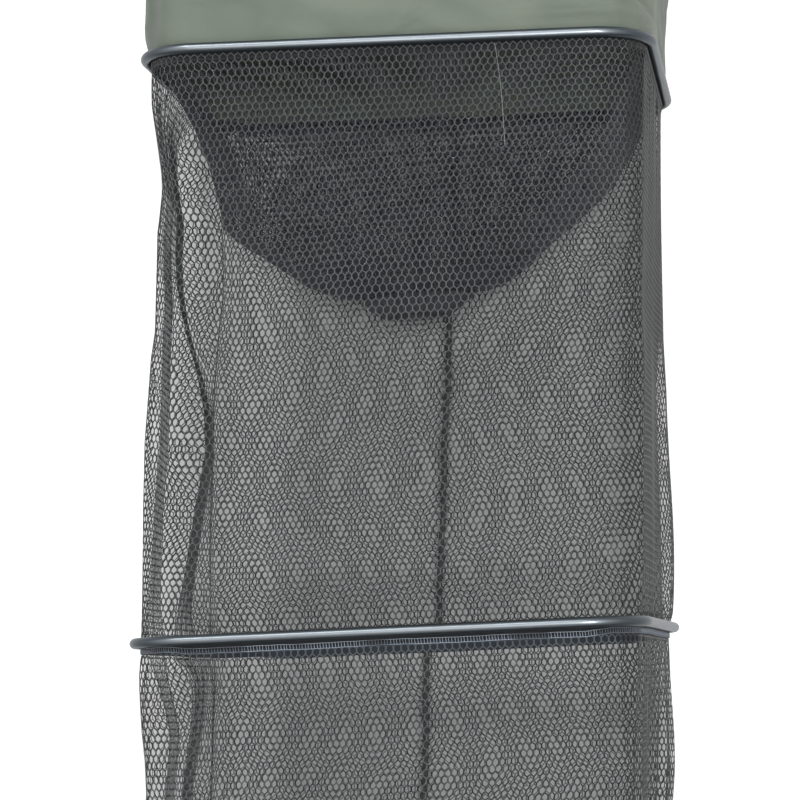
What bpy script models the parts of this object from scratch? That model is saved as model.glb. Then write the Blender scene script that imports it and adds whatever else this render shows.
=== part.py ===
"""Keep net: five slotted aluminium rings joined by a coated collar and three net
sections, with a funnel throat, a net base and a tilting bank-stick connector.

Metres, +Z up. The origin is the middle of the end face of the connector's threaded
stud, where the bank stick holds the net. The net hangs down from its mouth ring.
"""
import math

import bmesh
import bpy
from mathutils import Matrix, Vector

# Driving dimensions: rings
RING_WIDTH = 0.450  # over the tube, left to right
RING_DEPTH = 0.350  # over the tube, front to back
CORNER_RADIUS = 0.050  # at the tube's axis
TUBE_RADIUS = 0.0045
GROOVE_RADIUS = 0.0031  # bore that holds the hem cord
SLOT_WIDTH = 0.0024  # the groove's mouth, towards the inside of the ring
CLEARANCE = 0.0003  # between pieces that touch

# Driving dimensions: heights between ring axes
COLLAR_HEIGHT = 0.360
SECTION_HEIGHT = 0.500

# How the rings hang: roll about Y, then turn about Z, and a sideways drift
RING_2_ROLL_DEG = -1.1
RING_3_ROLL_DEG = -2.9
RING_3_TURN_DEG = -2.5
RING_3_DRIFT = 0.003

# Driving dimensions: hems and netting
HEM_CORD_RADIUS = 0.0025
HEM_TAPE_THICKNESS = 0.0012
HEM_FLAP_HEIGHT = 0.0095
NET_THICKNESS = 0.0010
COLLAR_THICKNESS = 0.0010
CLOTH_SPACING = 0.055  # between the points that shape the cloth along a straight
NET_STRAND_WIDTH = 0.009  # of the plain grid that stands for the small meshes
BASE_NET_THICKNESS = 0.0012
BASE_MESH_PITCH = 0.060  # between the gaps' middles
BASE_STRAND_WIDTH = 0.004
BASE_BORDER = 0.006

# Driving dimensions: throat
THROAT_DROP = 0.190  # from ring 2's axis to its hem
THROAT_END_RADIUS = 0.047
THROAT_CUFF = 0.006  # upright part of the net above the hem
THROAT_FULLNESS = 0.55  # below 1 the funnel bellies out like a bag
HEM_BAND_HEIGHT = 0.015
HEM_BAND_THICKNESS = 0.0012
ELASTIC_RADIUS = 0.0015

# Driving dimensions: connector
STUD_RADIUS = 0.00476  # a 3/8 inch bank-stick thread
STUD_LENGTH = 0.016
STUD_SEAT = 0.014  # how far it goes into the arm
BARREL_RADIUS = 0.010
BARREL_LENGTH = 0.030
TONGUE_RADIUS = 0.013
TONGUE_THICKNESS = 0.010
TONGUE_NECK = 0.003
BOLT_RADIUS = 0.004
BOLT_HEAD_RADIUS = 0.0075
BOLT_HEAD_THICKNESS = 0.0045
DISC_RADIUS = 0.0122
DISC_THICKNESS = 0.0015
LUG_RADIUS = 0.0125
LUG_THICKNESS = 0.008
PIVOT_OFFSET = 0.034  # tube axis to pivot axis
WEB_SETBACK = 0.0165  # block face to pivot axis
SADDLE_LENGTH = 0.056
SADDLE_HEIGHT = 0.019
SADDLE_LIP = 0.0025  # how far the saddle reaches past the tube's axis
SCREW_SPACING = 0.043
SCREW_RADIUS = 0.0020
SCREW_HEAD_RADIUS = 0.0038
SCREW_HEAD_LENGTH = 0.0026
WASHER_THICKNESS = 0.0012
KNOB_RADIUS = 0.0150
KNOB_LOBE = 0.0014
KNOB_LENGTH = 0.014
KNOB_HUB_RADIUS = 0.0090
KNOB_HUB_LENGTH = 0.004
KNOB_END_WALL = 0.004
EDGE_ROUNDING = 0.0012
CUT_OVERRUN = 0.002

# Counts
CORNER_STEPS = 5
TUBE_OUTER_POINTS = 9
TUBE_GROOVE_POINTS = 6
CORD_SIDES = 5
COLLAR_LEVELS = 6
NET_OPENINGS_ACROSS = 4  # between two corners, along the front or the back
NET_OPENINGS_DEEP = 3  # along a side
NET_OPENINGS_DOWN = 5
THROAT_LEVELS = 5
HEM_STATIONS = 20
ROUND_SIDES = 28
HEX_SIDES = 6
KNOB_LOBES = 5
KNOB_POINTS_PER_LOBE = 8

# How far the hanging cloth draws in between its rings, or bellies out below zero
COLLAR_DRAW_IN = -0.0065
SECTION_1_DRAW_IN = 0.0015
SECTION_2_DRAW_IN = -0.0015
SECTION_3_DRAW_IN = 0.0020

# Below 1, most of the drawing in, or of a fold, lies above the middle
WAIST_SKEW = 0.7
FOLD_FADE = 0.7

# Folds of the hanging sleeves. Each row: where the fold starts and ends round the
# ring, from the front's middle towards the right, its half width round the ring,
# and its depth, all as shares (depth of the ring's depth).
COLLAR_FOLD_SHARES = [
    (0.06, 0.11, 0.035, 0.020),
    (0.27, 0.24, 0.045, 0.026),
    (0.52, 0.55, 0.040, 0.022),
    (0.74, 0.77, 0.045, 0.026),
    (0.93, 0.90, 0.035, 0.018),
]
SECTION_1_FOLD_SHARES = [
    (0.18, 0.19, 0.040, 0.030),
    (0.26, 0.24, 0.045, 0.045),
    (0.47, 0.46, 0.050, 0.020),
    (0.70, 0.73, 0.045, 0.050),
    (0.79, 0.77, 0.035, 0.035),
    (0.85, 0.84, 0.040, 0.040),
]
SECTION_2_FOLD_SHARES = [
    (0.16, 0.17, 0.040, 0.030),
    (0.24, 0.26, 0.040, 0.040),
    (0.55, 0.52, 0.050, 0.022),
    (0.72, 0.70, 0.045, 0.045),
    (0.80, 0.83, 0.040, 0.035),
]
SECTION_3_FOLD_SHARES = [
    (0.14, 0.12, 0.045, 0.028),
    (0.23, 0.25, 0.045, 0.045),
    (0.48, 0.50, 0.050, 0.024),
    (0.73, 0.76, 0.045, 0.045),
    (0.88, 0.86, 0.040, 0.028),
]

# Sizes worked out from those above
AXIS_WIDTH = RING_WIDTH - 2 * TUBE_RADIUS
AXIS_DEPTH = RING_DEPTH - 2 * TUBE_RADIUS
FLAP_INSET = TUBE_RADIUS + 2 * CLEARANCE
WEB_HALF = HEM_TAPE_THICKNESS / 2
SLEEVE_INSET = FLAP_INSET + HEM_TAPE_THICKNESS / 2
FLAP_INNER_INSET = FLAP_INSET + HEM_TAPE_THICKNESS
SLEEVE_TOP = -HEM_FLAP_HEIGHT - CLEARANCE
SLEEVE_BOTTOM = WEB_HALF + CLEARANCE
HALF_STRAIGHT_X = AXIS_WIDTH / 2 - CORNER_RADIUS
HALF_STRAIGHT_Y = AXIS_DEPTH / 2 - CORNER_RADIUS
CORNER_ARC = CORNER_RADIUS * math.pi / 2
RING_LENGTH = 4 * (HALF_STRAIGHT_X + HALF_STRAIGHT_Y + CORNER_ARC)
LUG_INNER = TONGUE_THICKNESS / 2 + DISC_THICKNESS + 2 * CLEARANCE
LUG_OUTER = LUG_INNER + LUG_THICKNESS
PIVOT_HEIGHT = STUD_LENGTH + BARREL_LENGTH + TONGUE_RADIUS + TONGUE_NECK
PIVOT = Vector((0, 0, PIVOT_HEIGHT))
TUBE_BACK_Y = -PIVOT_OFFSET
RING_CENTRE_Y = TUBE_BACK_Y - AXIS_DEPTH / 2

ALONG_X = Matrix.Rotation(math.pi / 2, 4, "Y")
ALONG_Y = Matrix.Rotation(-math.pi / 2, 4, "X")


def clear_scene():
    for old in list(bpy.data.objects):
        bpy.data.objects.remove(old, do_unlink=True)


def material(name, colour, roughness, metallic=0.0):
    made = bpy.data.materials.new(name)
    made.use_nodes = True
    shader = made.node_tree.nodes["Principled BSDF"]
    shader.inputs["Base Color"].default_value = (*colour, 1.0)
    shader.inputs["Roughness"].default_value = roughness
    shader.inputs["Metallic"].default_value = metallic
    return made


def add_object(name, mesh, finish, parent=None, smooth_angle=math.radians(35)):
    made = bpy.data.objects.new(name, mesh)
    bpy.context.scene.collection.objects.link(made)
    mesh.materials.append(finish)
    mesh.shade_smooth()
    mesh.set_sharp_from_angle(angle=smooth_angle)
    made.parent = parent
    return made


def add_empty(name, placing, parent=None):
    made = bpy.data.objects.new(name, None)
    bpy.context.scene.collection.objects.link(made)
    made.empty_display_size = RING_DEPTH / 10
    made.matrix_world = placing
    made.parent = parent
    return made


# A loft: rows of points, joined row to row and round each row, less its open faces
def loft(name, rows, close_rows=True, open_faces=()):
    bm = bmesh.new()
    grid = [[bm.verts.new(point) for point in row] for row in rows]
    around = len(rows[0])
    last = len(rows) if close_rows else len(rows) - 1
    for i in range(last):
        here, there = grid[i], grid[(i + 1) % len(rows)]
        for j in range(around):
            if (i, j) in open_faces:
                continue
            k = (j + 1) % around
            bm.faces.new((here[j], here[k], there[k], there[j]))
    bmesh.ops.recalc_face_normals(bm, faces=bm.faces)
    mesh = bpy.data.meshes.new(name)
    bm.to_mesh(mesh)
    bm.free()
    return mesh


# A flat outline of (across, up) points pushed along X, centred on the origin
def extruded(name, outline, length):
    bm = bmesh.new()
    face = bm.faces.new([bm.verts.new((-length / 2, a, b)) for a, b in outline])
    pushed = bmesh.ops.extrude_face_region(bm, geom=[face])
    moved = [item for item in pushed["geom"] if isinstance(item, bmesh.types.BMVert)]
    bmesh.ops.translate(bm, verts=moved, vec=(length, 0, 0))
    bmesh.ops.recalc_face_normals(bm, faces=bm.faces)
    mesh = bpy.data.meshes.new(name)
    bm.to_mesh(mesh)
    bm.free()
    return mesh


# A cylinder along Z from low to high
def cylinder(name, radius, low, high, sides=ROUND_SIDES):
    bm = bmesh.new()
    bmesh.ops.create_cone(
        bm,
        cap_ends=True,
        segments=sides,
        radius1=radius,
        radius2=radius,
        depth=high - low,
        matrix=Matrix.Translation((0, 0, (low + high) / 2)),
    )
    mesh = bpy.data.meshes.new(name)
    bm.to_mesh(mesh)
    bm.free()
    return mesh


def turned(mesh, placing):
    mesh.transform(placing)
    return mesh


def cutter(name, mesh, parent=None):
    made = bpy.data.objects.new(name, mesh)
    bpy.context.scene.collection.objects.link(made)
    made.hide_render = True
    made.display_type = "WIRE"
    made.parent = parent
    return made


def boolean(target, tool, operation):
    cut = target.modifiers.new(f"{operation.lower()} {tool.name}", "BOOLEAN")
    cut.operation = operation
    cut.solver = "EXACT"
    cut.object = tool


def bevel(target, width, segments=2):
    rounding = target.modifiers.new("rounded edges", "BEVEL")
    rounding.width = width
    rounding.segments = segments
    rounding.limit_method = "ANGLE"
    rounding.angle_limit = math.radians(40)


# Points of the ring's axis at its corners, with the way in towards the middle.
# Between two corners the tube runs straight.
def corner_stations():
    stations = []
    for quarter, (sx, sy) in enumerate(((1, -1), (1, 1), (-1, 1), (-1, -1))):
        for step in range(CORNER_STEPS + 1):
            angle = math.radians(90) * (quarter - 1 + step / CORNER_STEPS)
            out = Vector((math.cos(angle), math.sin(angle), 0))
            middle = Vector((sx * HALF_STRAIGHT_X, sy * HALF_STRAIGHT_Y, 0))
            stations.append((middle + out * CORNER_RADIUS, -out))
    return stations


# The same points with more along the straights, as (share of the way round from the
# front's middle to the right, point on the tube's axis, way in)
def cloth_stations():
    corners = corner_stations()
    points = []
    for (here, inward), (there, _) in zip(corners, corners[1:] + corners[:1]):
        parts = max(1, round((there - here).length / CLOTH_SPACING))
        for part in range(parts):
            points.append((here.lerp(there, part / parts), inward))
    steps = [
        (points[(i + 1) % len(points)][0] - points[i][0]).length
        for i in range(len(points))
    ]
    so_far = HALF_STRAIGHT_X
    stations = []
    for (point, inward), step in zip(points, steps):
        stations.append((so_far / sum(steps) % 1.0, point, inward))
        so_far += step
    return stations


# Point of the ring's axis and the way in, at a distance round it from the front's
# middle to the right
def ring_at(distance):
    left = distance % RING_LENGTH
    point = Vector((0, -AXIS_DEPTH / 2, 0))
    out = Vector((0, -1, 0))
    depth, width = 2 * HALF_STRAIGHT_Y, 2 * HALF_STRAIGHT_X
    for straight in (HALF_STRAIGHT_X, depth, width, depth, HALF_STRAIGHT_X):
        way = Vector((-out.y, out.x, 0))
        if left <= straight:
            break
        left -= straight
        angle = min(left / CORNER_RADIUS, math.pi / 2)
        bent = Matrix.Rotation(angle, 3, "Z") @ out
        point += way * straight + (bent - out) * CORNER_RADIUS
        out = bent
        if left <= CORNER_ARC:
            return point, -out
        left -= CORNER_ARC
    return point + way * left, -out


# The netting's upright strands, one in each corner and the rest evenly between, as
# cloth stations, and for each station whether an opening follows it
def net_stations():
    half = NET_STRAND_WIDTH / 2
    start = HALF_STRAIGHT_X + CORNER_ARC / 2
    marks = []
    for side in range(4):
        deep = side % 2 == 0
        count = NET_OPENINGS_DEEP if deep else NET_OPENINGS_ACROSS
        straight = 2 * (HALF_STRAIGHT_Y if deep else HALF_STRAIGHT_X)
        length = straight + CORNER_ARC
        for opening in range(count):
            middle = start + length * opening / count
            marks += [(middle - half, False), (middle + half, True)]
            if opening == 0:
                marks.append((start + CORNER_ARC / 2, True))
            if opening == count - 1:
                marks.append((start + straight + CORNER_ARC / 2, True))
        start += length
    stations = [(d / RING_LENGTH % 1.0, *ring_at(d)) for d, _ in marks]
    return stations, [opens for _, opens in marks]


# The netting's level strands, as shares of the drop, and whether an opening follows
def net_levels():
    strand = NET_STRAND_WIDTH / (SECTION_HEIGHT + SLEEVE_TOP - SLEEVE_BOTTOM)
    pitch = (1 - strand) / NET_OPENINGS_DOWN
    levels = []
    for row in range(NET_OPENINGS_DOWN + 1):
        levels += [(row * pitch, False), (row * pitch + strand, True)]
    return [drop for drop, _ in levels], [opens for _, opens in levels]


def arc_points(radius, start, end, count):
    points = []
    for step in range(count):
        angle = start + (end - start) * step / (count - 1)
        points.append((radius * math.cos(angle), radius * math.sin(angle)))
    return points


# Sweeps a profile of (inset, height) points round the ring
def ring_sweep(name, profile):
    rows = []
    for axis_point, inward in corner_stations():
        rows.append([axis_point + inward * n + Vector((0, 0, z)) for n, z in profile])
    return loft(name, rows)


def slotted_tube_profile():
    outer_gap = math.asin(SLOT_WIDTH / 2 / TUBE_RADIUS)
    inner_gap = math.asin(SLOT_WIDTH / 2 / GROOVE_RADIUS)
    full = 2 * math.pi
    outer = arc_points(TUBE_RADIUS, outer_gap, full - outer_gap, TUBE_OUTER_POINTS)
    groove = arc_points(GROOVE_RADIUS, full - inner_gap, inner_gap, TUBE_GROOVE_POINTS)
    return outer + groove


def cord_profile(radius):
    full = 2 * math.pi
    return arc_points(radius, 0, full * (CORD_SIDES - 1) / CORD_SIDES, CORD_SIDES)


# The hem tape's web passes through the slot and its flap hangs inside the ring
def hem_tape_profile():
    start = HEM_CORD_RADIUS + CLEARANCE
    return [
        (start, WEB_HALF),
        (start, -WEB_HALF),
        (FLAP_INSET, -WEB_HALF),
        (FLAP_INSET, -HEM_FLAP_HEIGHT),
        (FLAP_INNER_INSET, -HEM_FLAP_HEIGHT),
        (FLAP_INNER_INSET, WEB_HALF),
    ]


def add_ring(name, frame, finishes):
    tube = ring_sweep(f"{name}_tube", slotted_tube_profile())
    add_object(f"{name}_tube", tube, finishes["aluminium"], frame)
    cord = ring_sweep(f"{name}_hem_cord", cord_profile(HEM_CORD_RADIUS))
    add_object(f"{name}_hem_cord", cord, finishes["hem cord"], frame)
    tape = ring_sweep(f"{name}_hem_tape", hem_tape_profile())
    add_object(f"{name}_hem_tape", tape, finishes["hem tape"], frame)


# Smooth bump that is 1 in the middle of a fold and 0 at its half width
def bump(distance, half_width):
    near = max(0.0, 1 - (distance / half_width) ** 2)
    return near * near


def fold_depth(share, drop, fold_shares):
    depth = 0.0
    for start, end, half_width, deep in fold_shares:
        away = (share - start - (end - start) * drop + 0.5) % 1.0 - 0.5
        depth += deep * RING_DEPTH * bump(away, half_width)
    return depth


# How far the hanging cloth draws in between two rings
def waist(drop, most):
    return most * math.sin(math.pi * drop ** WAIST_SKEW)


def solidify(target, thickness):
    wall = target.modifiers.new("wall", "SOLIDIFY")
    wall.thickness = thickness
    wall.offset = 0
    wall.use_even_offset = True


# The middle surface of cloth that hangs from one ring's hem to the next, as rows of
# points in the upper ring's frame
def sleeve_rows(upper, lower, stations, levels, draw_in, fold_shares):
    to_upper = upper.matrix_world.inverted() @ lower.matrix_world
    rows = []
    for drop in levels:
        fade = max(0.0, math.sin(math.pi * drop)) ** FOLD_FADE
        row = []
        for share, axis_point, inward in stations:
            point = axis_point + inward * SLEEVE_INSET
            top = point + Vector((0, 0, SLEEVE_TOP))
            bottom = to_upper @ (point + Vector((0, 0, SLEEVE_BOTTOM)))
            depth = waist(drop, draw_in) + fade * fold_depth(share, drop, fold_shares)
            row.append(top.lerp(bottom, drop) + inward * depth)
        rows.append(row)
    return rows


def add_collar(upper, lower, finish):
    levels = [level / COLLAR_LEVELS for level in range(COLLAR_LEVELS + 1)]
    rows = sleeve_rows(
        upper, lower, cloth_stations(), levels, COLLAR_DRAW_IN, COLLAR_FOLD_SHARES
    )
    made = add_object("collar", loft("collar", rows, close_rows=False), finish, upper)
    solidify(made, COLLAR_THICKNESS)


# A section of netting: its small meshes become a plain grid of openings
def add_net_section(name, upper, lower, draw_in, fold_shares, finish):
    stations, opens_across = net_stations()
    levels, opens_down = net_levels()
    rows = sleeve_rows(upper, lower, stations, levels, draw_in, fold_shares)
    openings = {
        (i, j)
        for i, down in enumerate(opens_down)
        for j, across in enumerate(opens_across)
        if down and across
    }
    mesh = loft(name, rows, close_rows=False, open_faces=openings)
    made = add_object(name, mesh, finish, upper)
    solidify(made, NET_THICKNESS)


# The funnel: a rounded rectangle under ring 2 that draws in to a round end
def add_throat(frame, finishes):
    inset = FLAP_INNER_INSET + CLEARANCE + NET_THICKNESS / 2
    top_height = -2 * HEM_TAPE_THICKNESS
    cuff_height = THROAT_CUFF - THROAT_DROP
    levels = []
    for level in range(THROAT_LEVELS + 1):
        drop = level / THROAT_LEVELS
        height = top_height + (cuff_height - top_height) * drop
        levels.append(((1 - drop) ** THROAT_FULLNESS, height))
    levels.append((0, -THROAT_DROP))
    rows = []
    for shrink, height in levels:
        row = []
        for share, axis_point, inward in cloth_stations():
            point = axis_point + inward * inset
            angle = 2 * math.pi * share - math.pi / 2
            end = Vector((math.cos(angle), math.sin(angle), 0)) * THROAT_END_RADIUS
            row.append(end.lerp(point, shrink) + Vector((0, 0, height)))
        rows.append(row)
    net = loft("throat_net", rows, close_rows=False)
    made = add_object("throat_net", net, finishes["throat net"], frame)
    solidify(made, NET_THICKNESS)

    # The hem band is folded up round the elastic
    outer = THROAT_END_RADIUS + HEM_BAND_THICKNESS / 2
    channel = 2 * (ELASTIC_RADIUS + CLEARANCE)
    inner = outer - 2 * HEM_BAND_THICKNESS - channel
    top = -THROAT_DROP - CLEARANCE
    bottom = top - HEM_BAND_HEIGHT
    tuck = bottom + HEM_BAND_HEIGHT / 2
    floor = bottom + HEM_BAND_THICKNESS
    section = [
        (outer, top),
        (outer, bottom),
        (inner, bottom),
        (inner, tuck),
        (inner + HEM_BAND_THICKNESS, tuck),
        (inner + HEM_BAND_THICKNESS, floor),
        (outer - HEM_BAND_THICKNESS, floor),
        (outer - HEM_BAND_THICKNESS, top),
    ]
    band = spun("throat_hem", section, HEM_STATIONS)
    add_object("throat_hem", band, finishes["throat hem"], frame)
    middle = outer - HEM_BAND_THICKNESS - channel / 2
    seat = floor + CLEARANCE + ELASTIC_RADIUS
    ring = [(middle + r, seat + z) for r, z in cord_profile(ELASTIC_RADIUS)]
    elastic = spun("throat_elastic", ring, HEM_STATIONS)
    add_object("throat_elastic", elastic, finishes["hem cord"], frame)


# A profile of (radius, height) points turned about Z
def spun(name, profile, stations):
    rows = []
    for station in range(stations):
        angle = 2 * math.pi * station / stations
        out = Vector((math.cos(angle), math.sin(angle), 0))
        rows.append([out * r + Vector((0, 0, z)) for r, z in profile])
    return loft(name, rows)


# The base: a flat panel of open meshes inside the lowest hem's flap
def add_base_net(frame, finishes):
    inset = FLAP_INNER_INSET + CLEARANCE
    outline = [point + inward * inset for point, inward in corner_stations()]
    low = -HEM_FLAP_HEIGHT
    high = low + BASE_NET_THICKNESS
    rows = [[p + Vector((0, 0, z)) for p in outline] for z in (low, high)]
    bm = bmesh.new()
    bm.from_mesh(loft("base_net", rows, close_rows=False))
    bmesh.ops.holes_fill(bm, edges=[e for e in bm.edges if e.is_boundary])
    bmesh.ops.recalc_face_normals(bm, faces=bm.faces)
    mesh = bpy.data.meshes.new("base_net")
    bm.to_mesh(mesh)
    bm.free()
    panel = add_object("base_net", mesh, finishes["net"], frame)

    # Six-sided gaps that fill the width, stretched a little to fill the depth
    half_x = AXIS_WIDTH / 2 - inset
    half_y = AXIS_DEPTH / 2 - inset
    round_corner = CORNER_RADIUS - inset
    open_width = 2 * (half_x - BASE_BORDER)
    columns = round(open_width / BASE_MESH_PITCH)
    pitch = open_width / columns
    radius = (pitch - BASE_STRAND_WIDTH) / math.sqrt(3)
    row_pitch = pitch * math.sqrt(3) / 2
    rows_each_way = int((half_y - BASE_BORDER - radius) / row_pitch)
    stretch = (half_y - BASE_BORDER) / (rows_each_way * row_pitch + radius)
    stretched = Matrix.Diagonal((1, stretch, 1, 1))
    gaps = bmesh.new()
    for row in range(-rows_each_way, rows_each_way + 1):
        in_row = columns - row % 2
        for column in range(in_row):
            middle = Vector(((column + (1 - in_row) / 2) * pitch, row * row_pitch, 0))
            corners = [
                stretched @ (middle + point) for point in circle_row(radius, 0, HEX_SIDES)
            ]
            past_x = max(0.0, max(abs(point.x) for point in corners) - half_x + round_corner)
            past_y = max(0.0, max(abs(point.y) for point in corners) - half_y + round_corner)
            if math.hypot(past_x, past_y) > round_corner:
                continue
            bmesh.ops.create_cone(
                gaps,
                cap_ends=True,
                segments=HEX_SIDES,
                radius1=radius,
                radius2=radius,
                depth=BASE_NET_THICKNESS + 2 * CUT_OVERRUN,
                matrix=stretched
                @ Matrix.Translation(middle + Vector((0, 0, (low + high) / 2))),
            )
    cut_mesh = bpy.data.meshes.new("base gaps")
    gaps.to_mesh(cut_mesh)
    gaps.free()
    boolean(panel, cutter("base gaps", cut_mesh, frame), "DIFFERENCE")


# A tongue or lug seen from the side: a round end at the pivot and a straight root
def lug_outline(radius, root, segments=12):
    points = [(root, radius), (root, -radius)]
    for step in range(segments + 1):
        angle = -math.pi / 2 + math.pi * step / segments
        points.append((radius * math.cos(angle), radius * math.sin(angle)))
    return points


def add_arm(frame, finishes):
    barrel_low = STUD_LENGTH - PIVOT_HEIGHT
    barrel_high = barrel_low + BARREL_LENGTH
    barrel = cylinder("swivel_arm", BARREL_RADIUS, barrel_low, barrel_high)
    arm = add_object("swivel_arm", barrel, finishes["connector"], frame)
    bevel(arm, EDGE_ROUNDING)
    root = barrel_high - CUT_OVERRUN
    outline = [(-b, a) for a, b in lug_outline(TONGUE_RADIUS, root)]
    tongue = cutter("tongue", extruded("tongue", outline, TONGUE_THICKNESS), frame)
    boolean(arm, tongue, "UNION")
    half = TONGUE_THICKNESS / 2 + CUT_OVERRUN
    pivot_hole = turned(cylinder("eye", BOLT_RADIUS + CLEARANCE, -half, half), ALONG_X)
    boolean(arm, cutter("arm eye", pivot_hole, frame), "DIFFERENCE")
    seat_high = barrel_low + STUD_SEAT
    seat = cylinder(
        "stud seat", STUD_RADIUS + CLEARANCE, barrel_low - CUT_OVERRUN, seat_high
    )
    boolean(arm, cutter("stud seat", seat, frame), "DIFFERENCE")

    stud_top = seat_high - CLEARANCE
    stud = cylinder("threaded_stud", STUD_RADIUS, -PIVOT_HEIGHT, stud_top)
    made = add_object("threaded_stud", stud, finishes["brass"], frame)
    bevel(made, EDGE_ROUNDING / 2, segments=1)


def add_block(frame, finishes):
    back = -WEB_SETBACK
    front = TUBE_BACK_Y - SADDLE_LIP
    half = SADDLE_HEIGHT / 2
    outline = [(front, -half), (back, -half), (back, half), (front, half)]
    body = extruded("connector_block", outline, SADDLE_LENGTH)
    block = add_object("connector_block", body, finishes["connector"], frame)
    bevel(block, EDGE_ROUNDING)

    lugs = extruded("lugs", lug_outline(LUG_RADIUS, back - EDGE_ROUNDING), 2 * LUG_OUTER)
    boolean(block, cutter("lugs", lugs, frame), "UNION")
    gap_low = back
    gap_high = LUG_RADIUS + CUT_OVERRUN
    tall = LUG_RADIUS + CUT_OVERRUN
    gap_outline = [(gap_low, -tall), (gap_high, -tall), (gap_high, tall), (gap_low, tall)]
    gap = extruded("clevis gap", gap_outline, 2 * LUG_INNER)
    boolean(block, cutter("clevis gap", gap, frame), "DIFFERENCE")

    reach = LUG_OUTER + CUT_OVERRUN
    eye = turned(cylinder("lug eyes", BOLT_RADIUS + CLEARANCE, -reach, reach), ALONG_X)
    boolean(block, cutter("lug eyes", eye, frame), "DIFFERENCE")
    reach = SADDLE_LENGTH / 2 + CUT_OVERRUN
    tunnel = turned(cylinder("tunnel", TUBE_RADIUS + CLEARANCE, -reach, reach), ALONG_X)
    tunnel = turned(tunnel, Matrix.Translation((0, TUBE_BACK_Y, 0)))
    boolean(block, cutter("tube tunnel", tunnel, frame), "DIFFERENCE")

    for side, sign in (("left", -1), ("right", 1)):
        x = sign * SCREW_SPACING / 2
        placing = Matrix.Translation((x, 0, 0)) @ ALONG_Y
        hole = cylinder("hole", SCREW_RADIUS + CLEARANCE, TUBE_BACK_Y, 0)
        boolean(block, cutter(f"{side} hole", turned(hole, placing), frame), "DIFFERENCE")
        sink_low = back - SCREW_HEAD_LENGTH - CLEARANCE
        sink = cylinder("sink", SCREW_HEAD_RADIUS + CLEARANCE, sink_low, 0)
        boolean(block, cutter(f"{side} sink", turned(sink, placing), frame), "DIFFERENCE")
        tip = TUBE_BACK_Y + TUBE_RADIUS + CLEARANCE
        head_low = back - SCREW_HEAD_LENGTH
        rows = []
        for radius, height in (
            (SCREW_RADIUS, tip),
            (SCREW_RADIUS, head_low),
            (SCREW_HEAD_RADIUS, head_low),
            (SCREW_HEAD_RADIUS, back),
        ):
            rows.append(circle_row(radius, height, ROUND_SIDES // 2))
        screw = turned(capped(f"ring_screw_{side}", rows), placing)
        add_object(f"ring_screw_{side}", screw, finishes["steel"], frame)


def circle_row(radius, height, sides):
    row = []
    for step in range(sides):
        angle = 2 * math.pi * step / sides
        row.append(Vector((radius * math.cos(angle), radius * math.sin(angle), height)))
    return row


# A loft along Z closed by a flat face at each end
def capped(name, rows):
    bm = bmesh.new()
    grid = [[bm.verts.new(point) for point in row] for row in rows]
    for here, there in zip(grid[:-1], grid[1:]):
        for j in range(len(here)):
            k = (j + 1) % len(here)
            bm.faces.new((here[j], here[k], there[k], there[j]))
    bm.faces.new(grid[0])
    bm.faces.new(grid[-1])
    bmesh.ops.recalc_face_normals(bm, faces=bm.faces)
    mesh = bpy.data.meshes.new(name)
    bm.to_mesh(mesh)
    bm.free()
    return mesh


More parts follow.
